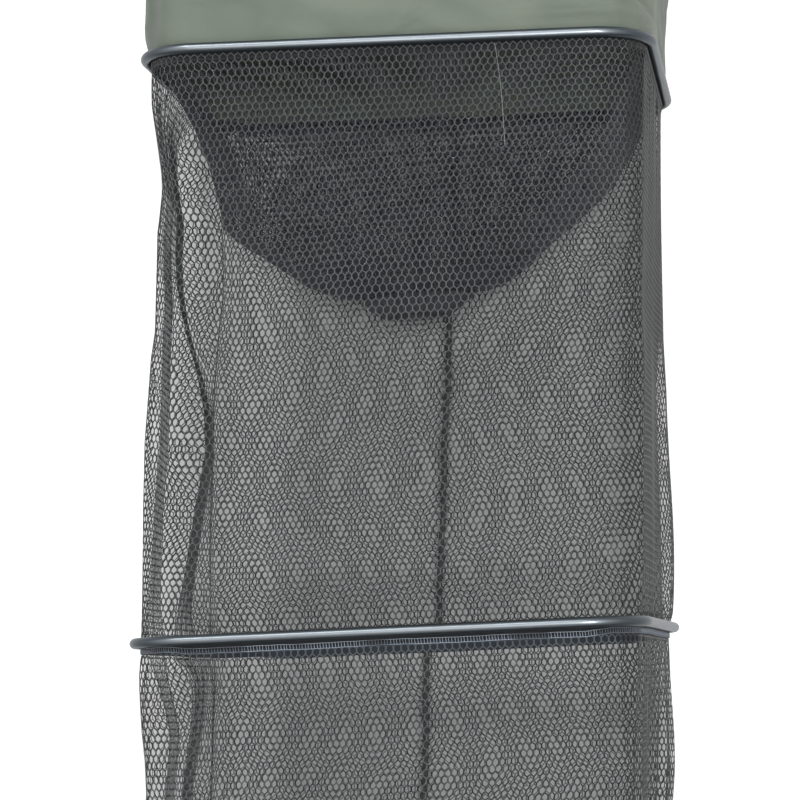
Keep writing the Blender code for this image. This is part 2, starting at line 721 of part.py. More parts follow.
def add_pivot(frame, knob_frame, finishes):
    # Friction discs either side of the arm's tongue
    disc_low = TONGUE_THICKNESS / 2 + CLEARANCE
    disc_high = disc_low + DISC_THICKNESS
    for side, sign in (("left", -1), ("right", 1)):
        section = [
            (DISC_RADIUS, disc_low),
            (DISC_RADIUS, disc_high),
            (BOLT_RADIUS + CLEARANCE, disc_high),
            (BOLT_RADIUS + CLEARANCE, disc_low),
        ]
        disc = spun(f"friction_disc_{side}", section, ROUND_SIDES)
        face_way = Matrix.Rotation(sign * math.pi / 2, 4, "Y")
        disc = turned(disc, face_way)
        add_object(f"friction_disc_{side}", disc, finishes["friction disc"], frame)

    # Bolt along X: head outside the left lug, end inside the knob
    washer_low = LUG_OUTER + CLEARANCE
    washer_high = washer_low + WASHER_THICKNESS
    knob_low = washer_high + CLEARANCE
    knob_high = knob_low + KNOB_HUB_LENGTH + KNOB_LENGTH
    bore_end = knob_high - KNOB_END_WALL
    head_high = -LUG_OUTER - CLEARANCE
    head_low = head_high - BOLT_HEAD_THICKNESS
    shank_low = head_high - BOLT_HEAD_THICKNESS / 2
    shank = cylinder("pivot_bolt", BOLT_RADIUS, shank_low, bore_end - CLEARANCE)
    bolt = add_object("pivot_bolt", turned(shank, ALONG_X), finishes["steel"], frame)
    head = cylinder("head", BOLT_HEAD_RADIUS, head_low, head_high, HEX_SIDES)
    boolean(bolt, cutter("bolt head", turned(head, ALONG_X), frame), "UNION")

    section = [
        (BOLT_HEAD_RADIUS, washer_low),
        (BOLT_HEAD_RADIUS, washer_high),
        (BOLT_RADIUS + CLEARANCE, washer_high),
        (BOLT_RADIUS + CLEARANCE, washer_low),
    ]
    washer = turned(spun("knob_washer", section, ROUND_SIDES), ALONG_X)
    add_object("knob_washer", washer, finishes["steel"], frame)

    # Lobed knob with a round hub and a blind bore
    grip_low = knob_low + KNOB_HUB_LENGTH
    count = KNOB_LOBES * KNOB_POINTS_PER_LOBE
    outline = []
    for step in range(count):
        angle = 2 * math.pi * step / count
        radius = KNOB_RADIUS + KNOB_LOBE * math.cos(KNOB_LOBES * angle)
        outline.append(Vector((radius * math.cos(angle), radius * math.sin(angle), 0)))
    rows = []
    for reach, height in (
        (KNOB_HUB_RADIUS / KNOB_RADIUS, knob_low),
        (KNOB_HUB_RADIUS / KNOB_RADIUS, grip_low),
        (1 - EDGE_ROUNDING / KNOB_RADIUS, grip_low),
        (1, grip_low + EDGE_ROUNDING),
        (1, knob_high - EDGE_ROUNDING),
        (1 - EDGE_ROUNDING / KNOB_RADIUS, knob_high),
    ):
        rows.append([point * reach + Vector((0, 0, height)) for point in outline])
    grip = turned(capped("lock_knob", rows), ALONG_X)
    knob = add_object("lock_knob", grip, finishes["knob"], knob_frame)
    bore = cylinder("bore", BOLT_RADIUS + CLEARANCE, knob_low - CUT_OVERRUN, bore_end)
    boolean(knob, cutter("knob bore", turned(bore, ALONG_X), knob_frame), "DIFFERENCE")


def ring_placing(height, roll_deg=0.0, turn_deg=0.0, drift=0.0):
    place = Matrix.Translation((drift, RING_CENTRE_Y, height))
    roll = Matrix.Rotation(math.radians(roll_deg), 4, "Y")
    turn = Matrix.Rotation(math.radians(turn_deg), 4, "Z")
    return place @ roll @ turn


def main():
    clear_scene()
    finishes = {
        "aluminium": material("satin aluminium", (0.33, 0.35, 0.36), 0.35, 0.9),
        "hem cord": material("hem cord", (0.10, 0.11, 0.13), 0.7),
        "hem tape": material("hem tape", (0.09, 0.11, 0.14), 0.8),
        "net": material("net", (0.13, 0.15, 0.15), 0.7),
        "throat net": material("throat net", (0.07, 0.09, 0.11), 0.7),
        "throat hem": material("throat hem", (0.06, 0.08, 0.11), 0.8),
        "collar": material("coated cloth", (0.19, 0.23, 0.18), 0.6),
        "connector": material("moulded nylon", (0.03, 0.03, 0.03), 0.5),
        "knob": material("knob", (0.02, 0.02, 0.02), 0.4),
        "friction disc": material("friction disc", (0.20, 0.12, 0.07), 0.9),
        "steel": material("stainless steel", (0.55, 0.55, 0.55), 0.3, 1.0),
        "brass": material("brass", (0.60, 0.44, 0.18), 0.35, 1.0),
    }

    pivot = add_empty("pivot", Matrix.Translation(PIVOT))
    arm = add_empty("arm", Matrix.Translation(PIVOT))
    knob = add_empty("knob", Matrix.Translation(PIVOT))
    add_arm(arm, finishes)
    add_block(pivot, finishes)
    add_pivot(pivot, knob, finishes)

    mouth_height = PIVOT_HEIGHT
    ring_2_height = mouth_height - COLLAR_HEIGHT
    ring_3_height = ring_2_height - SECTION_HEIGHT
    ring_4_height = ring_3_height - SECTION_HEIGHT
    base_height = ring_4_height - SECTION_HEIGHT
    ring_3_placing = ring_placing(
        ring_3_height, RING_3_ROLL_DEG, RING_3_TURN_DEG, RING_3_DRIFT
    )
    mouth = add_empty("mouth_ring", ring_placing(mouth_height))
    ring_2 = add_empty("ring_2", ring_placing(ring_2_height, RING_2_ROLL_DEG))
    ring_3 = add_empty("ring_3", ring_3_placing)
    ring_4 = add_empty("ring_4", ring_placing(ring_4_height))
    base = add_empty("base_ring", ring_placing(base_height))
    bpy.context.view_layer.update()
    for frame in (mouth, ring_2, ring_3, ring_4, base):
        add_ring(frame.name, frame, finishes)

    add_collar(mouth, ring_2, finishes["collar"])
    for name, upper, lower, draw_in, fold_shares in (
        ("net_section_1", ring_2, ring_3, SECTION_1_DRAW_IN, SECTION_1_FOLD_SHARES),
        ("net_section_2", ring_3, ring_4, SECTION_2_DRAW_IN, SECTION_2_FOLD_SHARES),
        ("net_section_3", ring_4, base, SECTION_3_DRAW_IN, SECTION_3_FOLD_SHARES),
    ):
        add_net_section(name, upper, lower, draw_in, fold_shares, finishes["net"])
    add_throat(ring_2, finishes)
    add_base_net(base, finishes)


main()
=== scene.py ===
# Keep net, dressed for Blender 4.5 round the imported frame. Metres, +Z up.
import math

import bpy
import numpy as np
from mathutils import Matrix, Vector


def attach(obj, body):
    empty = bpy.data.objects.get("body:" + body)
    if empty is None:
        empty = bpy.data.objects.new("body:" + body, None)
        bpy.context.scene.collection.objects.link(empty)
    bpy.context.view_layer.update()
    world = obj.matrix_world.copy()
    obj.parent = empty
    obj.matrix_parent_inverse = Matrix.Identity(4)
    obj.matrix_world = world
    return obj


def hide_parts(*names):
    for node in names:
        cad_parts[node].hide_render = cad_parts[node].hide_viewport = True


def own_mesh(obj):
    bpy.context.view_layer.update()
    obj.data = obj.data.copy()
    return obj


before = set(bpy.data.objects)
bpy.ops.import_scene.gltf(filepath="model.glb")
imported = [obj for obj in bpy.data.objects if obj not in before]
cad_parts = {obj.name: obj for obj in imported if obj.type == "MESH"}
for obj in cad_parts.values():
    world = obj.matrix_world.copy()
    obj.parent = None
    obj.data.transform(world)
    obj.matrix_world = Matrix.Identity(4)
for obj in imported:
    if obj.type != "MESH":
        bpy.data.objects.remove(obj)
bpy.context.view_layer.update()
print("frame loaded")


# A node's output, so that sums on it can be written as plain Python
class Wire:
    def __init__(self, finish, socket):
        self.finish, self.socket = finish, socket

    def maths(self, operation, first, second=None):
        values = {0: first} if second is None else {0: first, 1: second}
        return self.finish.node("ShaderNodeMath", {"operation": operation}, values)

    def __add__(self, other):
        return self.maths("ADD", self, other)

    def __sub__(self, other):
        return self.maths("SUBTRACT", self, other)

    def __mul__(self, other):
        return self.maths("MULTIPLY", self, other)

    def __truediv__(self, other):
        return self.maths("DIVIDE", self, other)

    def __abs__(self):
        return self.maths("ABSOLUTE", self)

    __radd__, __rmul__ = __add__, __mul__

    def wave(self):
        return self.maths("SINE", self) * 0.5 + 0.5

    # 0 below low, 1 above high, smooth between
    def between(self, low, high):
        return self.finish.node(
            "ShaderNodeMapRange",
            {"interpolation_type": "SMOOTHSTEP", "clamp": True},
            {"Value": self, "From Min": low, "From Max": high},
        )


# One Principled material and the nodes that feed it
class Finish:
    def __init__(self, name, **fixed):
        self.material = bpy.data.materials.new(name)
        self.material.use_nodes = True
        self.tree = self.material.node_tree
        self.shader = self.tree.nodes["Principled BSDF"]
        for socket, value in fixed.items():
            self.shader.inputs[socket.replace("_", " ")].default_value = value

    def node(self, kind, settings=None, sockets=None, output=0):
        made = self.tree.nodes.new(kind)
        for name, value in (settings or {}).items():
            if name == "stops":
                while len(made.color_ramp.elements) < len(value):
                    made.color_ramp.elements.new(0.5)
                for stop, (place, colour) in zip(made.color_ramp.elements, value):
                    stop.position, stop.color = place, (*colour, 1)
            else:
                setattr(made, name, value)
        for name, value in (sockets or {}).items():
            if isinstance(value, Wire):
                self.tree.links.new(value.socket, made.inputs[name])
            else:
                made.inputs[name].default_value = value
        return Wire(self, made.outputs[output])

    def place(self):
        return self.node("ShaderNodeTexCoord", output="Object")

    def stretched(self, x, y, z):
        return self.node("ShaderNodeMapping", {}, {"Vector": self.place(), "Scale": (x, y, z)})

    def attribute(self, name):
        return self.node("ShaderNodeAttribute", {"attribute_name": name}, output="Fac")

    def noise(self, scale, detail=3.0, where=None):
        sockets = {"Vector": where or self.place(), "Scale": scale, "Detail": detail}
        return self.node("ShaderNodeTexNoise", {}, sockets)

    def joined(self, x, y):
        return self.node("ShaderNodeCombineXYZ", {}, {0: x, 1: y})

    def axis(self, name):
        return self.node("ShaderNodeSeparateXYZ", {}, {0: self.place()}, name)

    # Ribs across the thread or cloth, one for each pitch in metres
    def ribs(self, mark, pitch):
        return (self.attribute(mark) * (2 * math.pi / pitch)).wave()

    def mixed(self, mask, first, second):
        first = first if isinstance(first, Wire) else (*first, 1)
        second = second if isinstance(second, Wire) else (*second, 1)
        settings = {"data_type": "RGBA", "clamp_factor": True}
        return self.node("ShaderNodeMix", settings, {0: mask, 6: first, 7: second}, 2)

    def feed(self, socket, wire):
        self.tree.links.new(wire.socket, self.shader.inputs[socket])

    def relief(self, height, distance):
        sockets = {"Height": height, "Distance": distance}
        self.feed("Normal", self.node("ShaderNodeBump", {}, sockets, "Normal"))


# Rings: one section for all five, bent in a rounded rectangle
ringShape = {
    "width": 0.441,  # at the tube's axis
    "depth": 0.341,
    "corner": 0.050,
    "tube": 0.0045,
    "groove": 0.0031,
    "slot": 0.0024,
    "cord": 0.0025,
    "flapInset": 0.0051,
    "flapThickness": 0.0012,
    "flapHeight": 0.0095,
    "openFlapHeight": 0.0120,  # where the netting below doesn't cover it
    "centreY": -0.2045,
}
rings = {
    "mouth_ring": {"height": 0.062},
    "ring_2": {"height": -0.298, "roll": -1.1},
    "ring_3": {"height": -0.798, "roll": -2.9, "turn": -2.5, "drift": 0.003},
    "ring_4": {"height": -1.298},
    "base_ring": {"height": -1.798},
}


def ringPlacing(name):
    held = rings[name]
    place = Matrix.Translation((held.get("drift", 0), ringShape["centreY"], held["height"]))
    roll = Matrix.Rotation(math.radians(held.get("roll", 0)), 4, "Y")
    turn = Matrix.Rotation(math.radians(held.get("turn", 0)), 4, "Z")
    return np.array(place @ roll @ turn)


def ringTable(steps=24):
    halfX = ringShape["width"] / 2 - ringShape["corner"]
    halfY = ringShape["depth"] / 2 - ringShape["corner"]
    rows = [(0, -ringShape["depth"] / 2, 0, 1)]
    for quarter, (sx, sy) in enumerate(((1, -1), (1, 1), (-1, 1), (-1, -1))):
        for step in range(steps + 1):
            angle = math.radians(90) * (quarter - 1 + step / steps)
            outX, outY = math.cos(angle), math.sin(angle)
            x = sx * halfX + ringShape["corner"] * outX
            y = sy * halfY + ringShape["corner"] * outY
            rows.append((x, y, -outX, -outY))
    rows.append(rows[0])
    rows = np.array(rows)
    lengths = np.r_[0, np.cumsum(np.hypot(*np.diff(rows[:, :2], axis=0).T))]
    return lengths / lengths[-1], rows, float(lengths[-1])


ringShares, ringRows, ringLength = ringTable()
cornerShares = [0.1419, 0.3581, 0.6419, 0.8581]  # the middles of the four corners


# Point on the ring's axis and the way in, for shares of the way round from the front's middle
def aroundRing(share):
    share = np.asarray(share, float) % 1.0
    x, y, wayX, wayY = (np.interp(share, ringShares, ringRows[:, k]) for k in range(4))
    size = np.hypot(wayX, wayY)
    return x, y, wayX / size, wayY / size


def toWorld(placing, x, y, z):
    x, y, z = np.broadcast_arrays(x, y, z)
    return np.stack([x, y, z], -1) @ placing[:3, :3].T + placing[:3, 3]


def ringPoint(placing, share, inset, height):
    x, y, wayX, wayY = aroundRing(share)
    return toWorld(placing, x + wayX * inset, y + wayY * inset, height)


# Sums of slow sines stand in for chance, so that every run is the same
def drift(seed, share, drop, turns, falls):
    rng = np.random.default_rng(seed)
    total = 0.0
    for turn, fall in zip(turns, falls):
        wave = np.sin(2 * np.pi * (turn * share + fall * drop + rng.random()))
        total = total + wave * rng.uniform(0.6, 1)
    return total / len(turns)


def addMarks(mesh, marks):
    for mark, values in marks.items():
        held = mesh.attributes.new(mark, "FLOAT", "POINT")
        held.data.foreach_set("value", np.asarray(values, np.float32).ravel())


def meshFrom(name, points, faces, marks=None):
    mesh = bpy.data.meshes.new(name)
    points = np.asarray(points, np.float32).reshape(-1, 3)
    faces = [np.asarray(f, np.int32) for f in faces if len(f)]
    corners = np.concatenate([f.ravel() for f in faces])
    counts = np.concatenate([np.full(len(f), f.shape[1]) for f in faces])
    starts = np.r_[0, np.cumsum(counts)[:-1]].astype(np.int32)
    mesh.vertices.add(len(points))
    mesh.vertices.foreach_set("co", points.ravel())
    mesh.loops.add(len(corners))
    mesh.loops.foreach_set("vertex_index", corners)
    mesh.polygons.add(len(counts))
    mesh.polygons.foreach_set("loop_start", starts)
    mesh.update(calc_edges=True)
    addMarks(mesh, marks or {})
    return mesh


def newObject(name, data):
    made = bpy.data.objects.new(name, data)
    bpy.context.scene.collection.objects.link(made)
    return made


def addPiece(name, mesh, finish, body, replaced=()):
    made = newObject(name, mesh)
    mesh.materials.append(finish.material)
    mesh.shade_smooth()
    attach(made, body)
    if replaced:
        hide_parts(*replaced)
    return made


# Lengths along a line of points
def runAlong(points):
    return np.r_[0, np.cumsum(np.linalg.norm(np.diff(points, axis=0), axis=1))]


# Rows of points joined row to row and round each row, with the distances along and round kept.
# The last row joins the first one, or else both ends are capped.
def sweptMesh(name, rows, closed=True):
    rows = np.asarray(rows, float)
    count, across = rows.shape[:2]
    index = np.arange(count * across).reshape(count, across)
    here, after = (index, np.roll(index, -1, 0)) if closed else (index[:-1], index[1:])
    faces = [np.stack([here, np.roll(here, -1, 1), np.roll(after, -1, 1), after], -1).reshape(-1, 4)]
    if not closed:
        faces += [index[:1, ::-1], index[-1:]]
    marks = {
        "along": np.repeat(runAlong(rows.mean(1)), across),
        "around": np.tile(np.linspace(0, 1, across, endpoint=False), count),
    }
    return meshFrom(name, rows, faces, marks)


def arc(radius, start, end, count):
    angle = np.linspace(start, end, count)
    return np.stack([radius * np.cos(angle), radius * np.sin(angle)], -1)


def ringStations(straight=0.012, corner=0.003):
    stations = []
    for low, high in zip(ringShares[:-1], ringShares[1:]):
        step = straight if (high - low) * ringLength > 0.01 else corner
        parts = max(1, round((high - low) * ringLength / step))
        stations += list(np.linspace(low, high, parts, endpoint=False))
    return np.array(stations)


# A section of (inset, height) points carried round a ring
def roundRing(name, placing, section, stations):
    section = np.asarray(section, float)
    inset, height = section[..., 0], section[..., 1]
    if section.ndim == 2:
        inset, height = inset[None], height[None]
    points = ringPoint(placing, stations[:, None], inset, height)
    return sweptMesh(name, points)


# Round threads along lines of points
def threadMesh(name, paths, radius, sides=4):
    points, faces, marks, start = [], [], [], 0
    for path in paths:
        path = np.asarray(path, float)
        way = np.gradient(path, axis=0)
        way /= np.linalg.norm(way, axis=1)[:, None] + 1e-12
        side = np.cross(way, (0.31, 0.24, 0.92))
        side /= np.linalg.norm(side, axis=1)[:, None] + 1e-12
        up = np.cross(side, way)
        angle = np.linspace(0, 2 * np.pi, sides, endpoint=False)
        ring = side[:, None] * np.cos(angle)[:, None] + up[:, None] * np.sin(angle)[:, None]
        points.append((path[:, None] + ring * radius).reshape(-1, 3))
        index = start + np.arange(len(path) * sides).reshape(len(path), sides)
        after = np.roll(index, -1, 1)
        faces.append(np.stack([index[:-1], index[1:], after[1:], after[:-1]], -1).reshape(-1, 4))
        marks.append(np.repeat(runAlong(path), sides))
        start += len(path) * sides
        for end in (index[0], index[-1, ::-1]):
            faces.append(end[None])
    same = {}
    for f in faces:
        same.setdefault(f.shape[1], []).append(f)
    joined = [np.concatenate(group) for group in same.values()]
    return meshFrom(name, np.concatenate(points), joined, {"along": np.concatenate(marks)})


# Satin anodised tube: fine drawn lines along it, with a painted highlight down the middle of its outer side
# on the long bars
aluminiumLook = {
    "colour": (0.064, 0.077, 0.087),
    "wearAndHighlight": (0.245, 0.272, 0.295),
    "highlightAt": 0.320,  # of the way round the section where the painted highlight runs: the middle of its outer side
    "highlightReach": 0.085,
    "highlightEnds": (0.222, 0.165),  # the painted highlight fades out before the corners, which keep the plain coat colour
    "metallic": 0.92,
    "roughness": 0.31,
    "linesAlong": 26,
    "linesAround": 72.8,
    "lineDepth": 0.000010,
}


def aluminiumFinish():
    look = aluminiumLook
    made = Finish("satin_aluminium", Metallic=look["metallic"])
    along, around = made.attribute("along"), made.attribute("around")
    lines = made.noise(1.0, 4, made.joined(along * look["linesAlong"], around * look["linesAround"]))
    blotch = made.noise(34, 4)
    # painted highlight: a paler band round the middle of the section's outer side, on the long bars only,
    # mixed with the drawn lines
    outer = abs(around - look["highlightAt"]).between(look["highlightReach"], 0.02)
    bars = abs(made.axis("X")).between(*look["highlightEnds"])
    wearAndHighlight = (outer * bars * (0.8 + 0.35 * blotch) + 0.22 * (lines - 0.5)).between(0.05, 1.0)
    made.feed("Base Color", made.mixed(wearAndHighlight, look["colour"], look["wearAndHighlight"]))
    scratches = made.noise(420, 3).between(0.52, 0.75)
    made.feed("Roughness", look["roughness"] + 0.16 * lines + 0.07 * scratches - 0.06 * wearAndHighlight)
    made.relief(lines + 0.4 * scratches, look["lineDepth"])
    return made


hemLook = {
    "tape": ((0.007, 0.009, 0.010), (0.022, 0.027, 0.029)),
    # Where the netting below doesn't cover it
    "navyTape": ((0.010, 0.015, 0.025), (0.034, 0.046, 0.064)),
    "cord": (0.10, 0.11, 0.13),
    "thread": (0.58, 0.66, 0.76),
    "looseThread": (0.50, 0.52, 0.50),
    "darkThread": (0.085, 0.110, 0.135),
    "ribPitch": 0.0007,
    "braidPitch": 0.0022,
    "plyPitch": 0.0009,
    "darkerEnds": (0.178, 0.198),  # the pale stitching is darker past here, at the ring's sides
    "slotShadeTone": (0.004, 0.005, 0.007),  # painted shade: the tape is darkest beside the slot, down to slotEnd
    "slotEnd": 0.345,  # of the way round the tape's section
}


def tapeFinish(name, dark, pale):
    look = hemLook
    made = Finish(name, Roughness=0.86, Sheen_Weight=0.15)
    ribs = made.ribs("along", look["ribPitch"])
    fuzz = made.noise(900, 4)
    slow = made.noise(45, 3)
    mask = (0.45 * ribs + 0.5 * fuzz + 0.5 * slow).between(0.45, 1.1)
    cloth = made.mixed(mask, dark, pale)
    # painted shade: the tape is darkened next to the slot, under the tube
    slotShade = made.attribute("around").between(look["slotEnd"] + 0.05, look["slotEnd"])
    made.feed("Base Color", made.mixed(slotShade, cloth, look["slotShadeTone"]))
    made.relief(ribs + fuzz, 0.00012)
    return made


def braidFinish(name, colour):
    made = Finish(name, Roughness=0.7)
    along, around = made.attribute("along") / hemLook["braidPitch"], made.attribute("around") * 4
    one, other = ((turns * (2 * math.pi)).wave() for turns in (along + around, along - around))
    weave = one * other + 0.3 * made.noise(1500, 2)
    dark = tuple(0.55 * c for c in colour)
    made.feed("Base Color", made.mixed(weave.between(0.1, 0.9), dark, colour))
    made.relief(weave, 0.0003)
    return made


def threadFinish(name, colour, darkening=0.0):
    made = Finish(name, Roughness=0.6)
    ply = made.ribs("along", hemLook["plyPitch"])
    fuzz = made.noise(700, 3)
    dark, darkTone = tuple(0.6 * c for c in colour), tuple(0.2 * c for c in colour)
    plain = made.mixed((0.5 * ply + 0.7 * fuzz).between(0.3, 0.9), dark, colour)
    # the stitching is darker at the ring's sides and in random patches
    ends = abs(made.axis("X")).between(*hemLook["darkerEnds"])
    mask = (made.noise(26, 3).between(0.45, 0.62) + ends).between(0, 1) * darkening
    made.feed("Base Color", made.mixed(mask, plain, darkTone))
    made.relief(ply, 0.00008)
    return made


aluminium = aluminiumFinish()
tapeCloth = tapeFinish("woven_hem_tape", *hemLook["tape"])
navyCloth = tapeFinish("navy_hem_tape", *hemLook["navyTape"])
cordBraid = braidFinish("braided_hem_cord", hemLook["cord"])
paleThread = threadFinish("pale_overlock_thread", hemLook["thread"], 0.75)
darkThread = threadFinish("dark_overlock_thread", hemLook["darkThread"])
looseThread = threadFinish("loose_thread", hemLook["looseThread"])


def tubeSection():
    outerGap = math.asin(ringShape["slot"] / 2 / ringShape["tube"])
    innerGap = math.asin(ringShape["slot"] / 2 / ringShape["groove"])
    full = 2 * math.pi
    outer = arc(ringShape["tube"], outerGap, full - outerGap, 33)
    inner = arc(ringShape["groove"], full - innerGap, innerGap, 19)
    return np.concatenate([outer, inner])


tapeShape = {
    "openMiddle": 0.008,  # along a long bar, and how far to each side of it the tape shows
    "openReach": 0.190,
    "openFade": 0.022,
    "web": 0.0005,  # half its thickness in the slot, and then at the flap
    "webEnd": 0.0006,
    "sag": 0.0006,
    "lean": 0.00025,
}


# How a ring's tape and stitching hang lower and higher on the way round
def ringWave(seed, share):
    return drift(seed, share, 0, (5, 9, 14), (0, 0, 0))


# 1 on a ring's long bars, and 0 where the netting covers the tape at its corners and sides
def openness(share):
    away = abs(aroundRing(share)[0] - tapeShape["openMiddle"])
    return np.clip((tapeShape["openReach"] - away) / tapeShape["openFade"], 0, 1)


# The hem tape: its web goes through the slot, its flap hangs inside the tube and waves a little
def tapeSection(stations, seed, heights):
    start, web, webEnd = ringShape["cord"] + 0.0003, tapeShape["web"], tapeShape["webEnd"]
    inset = ringShape["flapInset"]
    inner = inset + ringShape["flapThickness"]
    shares = [step / 6 for step in range(1, 7)]
    rows = []
    sag = tapeShape["sag"] * ringWave(seed, stations)
    lean = tapeShape["lean"] * drift(seed + 1, stations, 0, (4, 11, 17), (0, 0, 0))
    for low, tilt, flapHeight in zip(sag, lean, heights):
        bottom = -flapHeight - low
        row = [(start, web), (start, -web), (inset - 0.0002, -webEnd)]
        row += [(inset - tilt * share, -webEnd + (bottom + webEnd) * share) for share in shares]
        row.append((inset + ringShape["flapThickness"] / 2, bottom - 0.0002))
        row += [(inner - tilt * share, 0.0004 + (bottom - 0.0004) * share) for share in shares[::-1]]
        row += [(inner - 0.0002, webEnd), (inset - 0.0004, web)]
        rows.append(row)
    return np.array(rows)


# Overlock stitches over the flap: slanted rungs between an upper and a lower chain
overlockShape = {
    "pitch": 0.0026,
    "radius": 0.00023,
    "top": -0.0050,
    "bottom": -0.0092,
    "openTop": -0.0070,  # on the longer flaps
    "openBottom": -0.0114,
    "inset": 0.0048,
    "insideInset": 0.0067,  # under ring 2 the netting covers the tape, and the stitches show inside
    "rung": 0.16,  # how far a rung slants, in pitches
    "jitter": 0.12,
    "sag": 0.0005,
    "bulge": 0.00025,
}


def overlockPaths(placing, seed, base, isOpen):
    shape = overlockShape

    def level(end, openEnd, where):
        return shape[end] + (shape[openEnd] - shape[end]) * isOpen * openness(where)

    count = round(ringLength / shape["pitch"])
    rng = np.random.default_rng(seed)
    share = (np.arange(count) + rng.uniform(-shape["jitter"], shape["jitter"], count)) / count
    sag = -shape["sag"] * ringWave(seed, share)
    top = level("top", "openTop", share) + sag + rng.uniform(-0.0004, 0.0004, count)
    low = level("bottom", "openBottom", share) + sag + rng.uniform(-0.0003, 0.0003, count)
    rung = shape["rung"] / count
    insets = base - np.array([0, shape["bulge"], 0])
    paths = []
    for k, here in enumerate(share):
        heights = np.array([top[k], (top[k] + low[k]) / 2, low[k]])
        paths.append(ringPoint(placing, here + rung * np.array([0, 0.5, 1]), insets, heights))
        after = (k + 1) % count
        back = np.array([here + rung, share[after] + (after == 0)])
        paths.append(ringPoint(placing, back, base + 0.0006, np.array([low[k], top[after]])))
    steady = np.linspace(0, 1, 400)
    wobble = shape["bulge"] * drift(seed + 3, steady, 0, (31, 57, 83), (0, 0, 0))
    slow = -shape["sag"] * ringWave(seed, steady)
    for height in (level("top", "openTop", steady), level("bottom", "openBottom", steady)):
        paths.append(ringPoint(placing, steady, base, height + slow + wobble))
    return paths


stations = ringStations()
for seed, name in enumerate(rings):
    placing = ringPlacing(name)
    tube = roundRing(f"{name}_tube_fine", placing, tubeSection(), stations)
    addPiece(f"{name}_tube_fine", tube, aluminium, name, [f"{name}_tube"])
    cord = roundRing(f"{name}_cord_fine", placing, arc(ringShape["cord"], 0, 5.655, 10), stations)
    addPiece(f"{name}_cord_fine", cord, cordBraid, name, [f"{name}_hem_cord"])
    isOpen = name in ("ring_3", "ring_4")
    longer = (ringShape["openFlapHeight"] - ringShape["flapHeight"]) * isOpen * openness(stations)
    section = tapeSection(stations, 40 + seed, ringShape["flapHeight"] + longer)
    tape = roundRing(f"{name}_tape_fine", placing, section, stations)
    cloth = navyCloth if isOpen else tapeCloth
    addPiece(f"{name}_tape_fine", tape, cloth, name, [f"{name}_hem_tape"])
    base = overlockShape["insideInset" if name == "ring_2" else "inset"]
    paths = overlockPaths(placing, 60 + seed, base, isOpen)
    stitches = threadMesh(f"{name}_overlock", paths, overlockShape["radius"])
    thread = darkThread if name in ("mouth_ring", "ring_2") else paleThread
    addPiece(f"{name}_overlock", stitches, thread, name)
print("rings done")


# Smooth bump: 1 in the middle, 0 at the half width
def bump(t):
    return np.clip(1 - t * t, 0, 1) ** 2


# Folds are rows of: where the fold starts and ends round the ring, its half width, its depth
# in metres, how far it leans over sideways, and where along the drop it is deepest, with a spread
def foldMoves(folds, share, drop):
    inward, sideways = 0.0, 0.0
    fade = np.sin(np.pi * np.clip(drop, 0, 1)) ** 0.7
    for start, end, half, deep, lean, *where in folds:
        away = (share - start - (end - start) * drop + 0.5) % 1.0 - 0.5
        held = fade
        if where:
            held = np.exp(-(((drop - where[0]) / where[1]) ** 2)) * np.minimum(1, 6 * fade)
        shape = bump(away / half) * held
        inward = inward + deep * shape
        sideways = sideways + lean * shape
    return inward, sideways


# Side panels' folds as seen from above. Each row of a plan has a level of the drop and how far
# in the cloth lies there, in millimetres, at each of these depths behind the front panel.
foldDepths = (0.0, 0.032, 0.060, 0.120, 0.138, 0.235, 0.262, 0.305, 0.3296)
flatRun = 0.04  # a longer run between two depths stays flat


def planMoves(plan, x, behind, drop):
    inward = 0.0
    for side, rows in plan.items():
        levels = [level for level, depths in rows]
        moved, before = 0.0, 0.0
        for k, (near, far) in enumerate(zip(foldDepths[:-1], foldDepths[1:])):
            here = np.interp(drop, levels, [0.001 * (*depths, 0.0)[k] for level, depths in rows])
            run = np.clip((behind - near) / (far - near), 0, 1)
            if far - near < flatRun:
                run = run * run * (3 - 2 * run)
            moved = moved + (here - before) * run
            before = here
        inward = inward + np.where(x < 0 if side == "left" else x > 0, moved, 0.0)
    return inward


# What all sleeves share, in metres
sleeveShape = {
    "inset": 0.0057,
    "lowStart": 0.0009,
    "sewnReach": 0.006,  # how far the hems hold the cloth in place
    "planTop": 0.016,  # and how far they hold back the measured folds
    "planLow": 0.020,
    "gatherTop": 0.040,
    "gatherLow": 0.035,
    "lowGather": 0.7,  # how strong the gather is at the lower hem
    "overFlap": 0.0011,  # netting that lies outside the tape's flap
    "flapReach": 0.004,
}


# 0 at the hems and 1 away from them
def released(fromTop, fromLow, topReach, lowReach):
    return (1 - np.exp(-fromTop / topReach)) * (1 - np.exp(-fromLow / lowReach))


